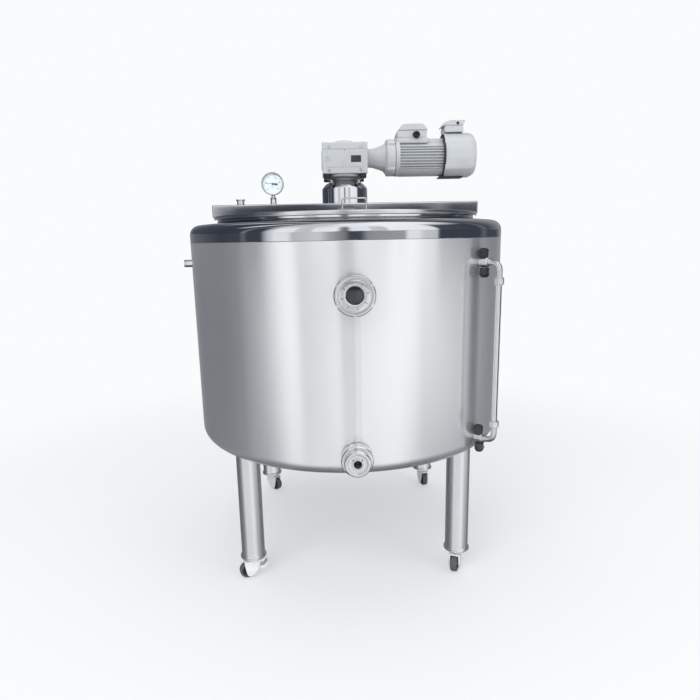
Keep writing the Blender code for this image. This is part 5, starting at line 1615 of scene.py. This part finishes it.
def make_world():
    """A room with a bright front, dark sides and ceiling lights, seen only in reflections."""
    world = bpy.data.worlds.new("studio")
    bpy.context.scene.world = world
    world.use_nodes = True
    tree = world.node_tree
    tree.nodes.clear()
    out = tree.nodes.new("ShaderNodeOutputWorld")
    place = tree.nodes.new("ShaderNodeTexCoord")
    parts = tree.nodes.new("ShaderNodeSeparateXYZ")
    tree.links.new(place.outputs["Generated"], parts.inputs[0])
    across, depth, rise = parts.outputs
    turn = math_node(tree, "ARCTAN2", across, math_node(tree, "MULTIPLY", depth, -1.0))
    around = math_node(tree, "MULTIPLY_ADD", turn, 1 / (2 * math.pi), 0.5)
    height = math_node(tree, "MULTIPLY_ADD", rise, 0.5, 0.5)
    room = graded(tree, around, [((a + 180) / 360, v) for a, v in GROUND])
    for levels, start, end in STOREYS:
        walls = tree.nodes.new("ShaderNodeMix")
        walls.data_type = "RGBA"
        edge = graded(tree, height, (((start + 1) / 2, 0.0), ((end + 1) / 2, 1.0)))
        tree.links.new(edge, walls.inputs["Factor"])
        tree.links.new(room, walls.inputs["A"])
        tree.links.new(graded(tree, around, [((a + 180) / 360, v) for a, v in levels]),
                       walls.inputs["B"])
        room = walls.outputs["Result"]
    below = graded(tree, height, [((v + 1) / 2, level) for v, level in BELOW])
    room = multiplied(tree, room, below)
    for operation, tint in (("ADD", COOL_AIR), ("MAXIMUM", (0.0, 0.0, 0.0))):
        cool = tree.nodes.new("ShaderNodeVectorMath")
        cool.operation = operation
        cool.inputs[1].default_value = tint
        tree.links.new(room, cool.inputs[0])
        room = cool.outputs["Vector"]
    path = tree.nodes.new("ShaderNodeLightPath")
    straight = math_node(tree, "MAXIMUM", path.outputs["Is Camera Ray"],
                         path.outputs["Is Transmission Ray"])
    soft = background(tree, SOFT_TONE, SOFT_LEVEL)
    shown = by_ray(tree, path.outputs["Is Glossy Ray"], soft, background(tree, room))
    shown = by_ray(tree, straight, shown, background(tree, PALE))
    tree.links.new(shown, out.inputs["Surface"])


# ---- operators ---------------------------------------------------------------------------
class MILKTANK_OT_finishes(bpy.types.Operator):
    """Make the steel, enamel, rubber and glass finishes"""
    bl_idname = "milktank.finishes"
    bl_label = "Finishes"
    bl_options = {"REGISTER", "UNDO"}

    def execute(self, context):
        make_finishes(context.scene)
        return {"FINISHED"}


class MILKTANK_OT_stage(bpy.types.Operator):
    """Make the camera, the lamps and the floor"""
    bl_idname = "milktank.stage"
    bl_label = "Stage"
    bl_options = {"REGISTER", "UNDO"}

    def execute(self, context):
        settings = context.scene.milk_tank_stage
        context.scene.view_settings.view_transform = "Standard"
        make_world()
        make_floor(settings)
        make_camera(settings)
        for lamp in LAMPS:
            make_lamp(*lamp)
        return {"FINISHED"}


class MILKTANK_OT_tank(bpy.types.Operator):
    """Make the cladding, collar, weld beads and milk vessel"""
    bl_idname = "milktank.tank"
    bl_label = "Tank"
    bl_options = {"REGISTER", "UNDO"}

    def execute(self, context):
        for make in (make_cladding, make_collar, make_beads, make_vessel):
            make(context.scene.milk_tank)
        return {"FINISHED"}


class MILKTANK_OT_top(bpy.types.Operator):
    """Make the bridge, lids, vent and thermometer"""
    bl_idname = "milktank.top"
    bl_label = "Bridge and Lids"
    bl_options = {"REGISTER", "UNDO"}

    def execute(self, context):
        settings = context.scene.milk_tank_top
        make_bridge(settings)
        for label, side in (("front", -1), ("rear", 1)):
            make_lid(label, side, settings, context.scene.milk_tank.facets)
            make_hinge_rod(label, side)
        make_vent()
        make_thermometer(settings)
        return {"FINISHED"}


class MILKTANK_OT_drive(bpy.types.Operator):
    """Make the gearbox, motor, shaft and paddle"""
    bl_idname = "milktank.drive"
    bl_label = "Agitator Drive"
    bl_options = {"REGISTER", "UNDO"}

    def execute(self, context):
        for make in (make_lantern, make_flange, make_gearbox, make_gearbox_screws, make_agitator):
            make()
        make_motor(context.scene.milk_tank_drive)
        make_terminal_boxes()
        return {"FINISHED"}


class MILKTANK_OT_fittings(bpy.types.Operator):
    """Make the sight port, outlet, stub and level gauge"""
    bl_idname = "milktank.fittings"
    bl_label = "Wall Fittings"
    bl_options = {"REGISTER", "UNDO"}

    def execute(self, context):
        settings = context.scene.milk_tank_fittings
        make_sight_port(settings)
        make_outlet(settings)
        make_side_stub()
        make_level_gauge()
        return {"FINISHED"}


class MILKTANK_OT_running_gear(bpy.types.Operator):
    """Make the legs, forks, wheels and brake pedals"""
    bl_idname = "milktank.running_gear"
    bl_label = "Legs and Casters"
    bl_options = {"REGISTER", "UNDO"}

    def execute(self, context):
        for label, (sx, sy) in CORNERS.items():
            make_leg(label, sx, sy, context.scene.milk_tank.facets)
            make_caster(label)
        return {"FINISHED"}


class MILKTANK_OT_inner_nodes(bpy.types.Operator):
    """Give the hidden pieces their finishes"""
    bl_idname = "milktank.inner_nodes"
    bl_label = "Inner Pieces"
    bl_options = {"REGISTER", "UNDO"}

    def execute(self, context):
        for node, finish in INNER_FINISHES.items():
            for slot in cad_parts[node].material_slots:
                slot.material = FINISH[finish]
        return {"FINISHED"}


OPERATORS = (MILKTANK_OT_finishes, MILKTANK_OT_stage, MILKTANK_OT_tank, MILKTANK_OT_top,
             MILKTANK_OT_drive, MILKTANK_OT_fittings, MILKTANK_OT_running_gear,
             MILKTANK_OT_inner_nodes)


class MILKTANK_PT_panel(bpy.types.Panel):
    """Lists the tank's operators"""
    bl_label = "Bulk Milk Tank"
    bl_idname = "MILKTANK_PT_panel"
    bl_space_type = "VIEW_3D"
    bl_region_type = "UI"
    bl_category = "Milk Tank"

    def draw(self, context):
        for step in OPERATORS:
            self.layout.operator(step.bl_idname)


SETTINGS = {"milk_tank": TankSettings, "milk_tank_top": TopSettings, "milk_tank_drive": DriveSettings,
            "milk_tank_fittings": FittingSettings, "milk_tank_running_gear": RunningGearSettings,
            "milk_tank_stage": StageSettings}
CLASSES = tuple(SETTINGS.values()) + OPERATORS + (MILKTANK_PT_panel,)


def register():
    for item in CLASSES:
        bpy.utils.register_class(item)
    for name, group in SETTINGS.items():
        setattr(bpy.types.Scene, name, PointerProperty(type=group))


def unregister():
    for name in SETTINGS:
        delattr(bpy.types.Scene, name)
    for item in reversed(CLASSES):
        bpy.utils.unregister_class(item)


def main():
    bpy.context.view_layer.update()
    register()
    for step in OPERATORS:
        getattr(bpy.ops.milktank, step.bl_idname.split(".")[1])()
    bpy.context.view_layer.update()


if __name__ == "__main__":
    main()
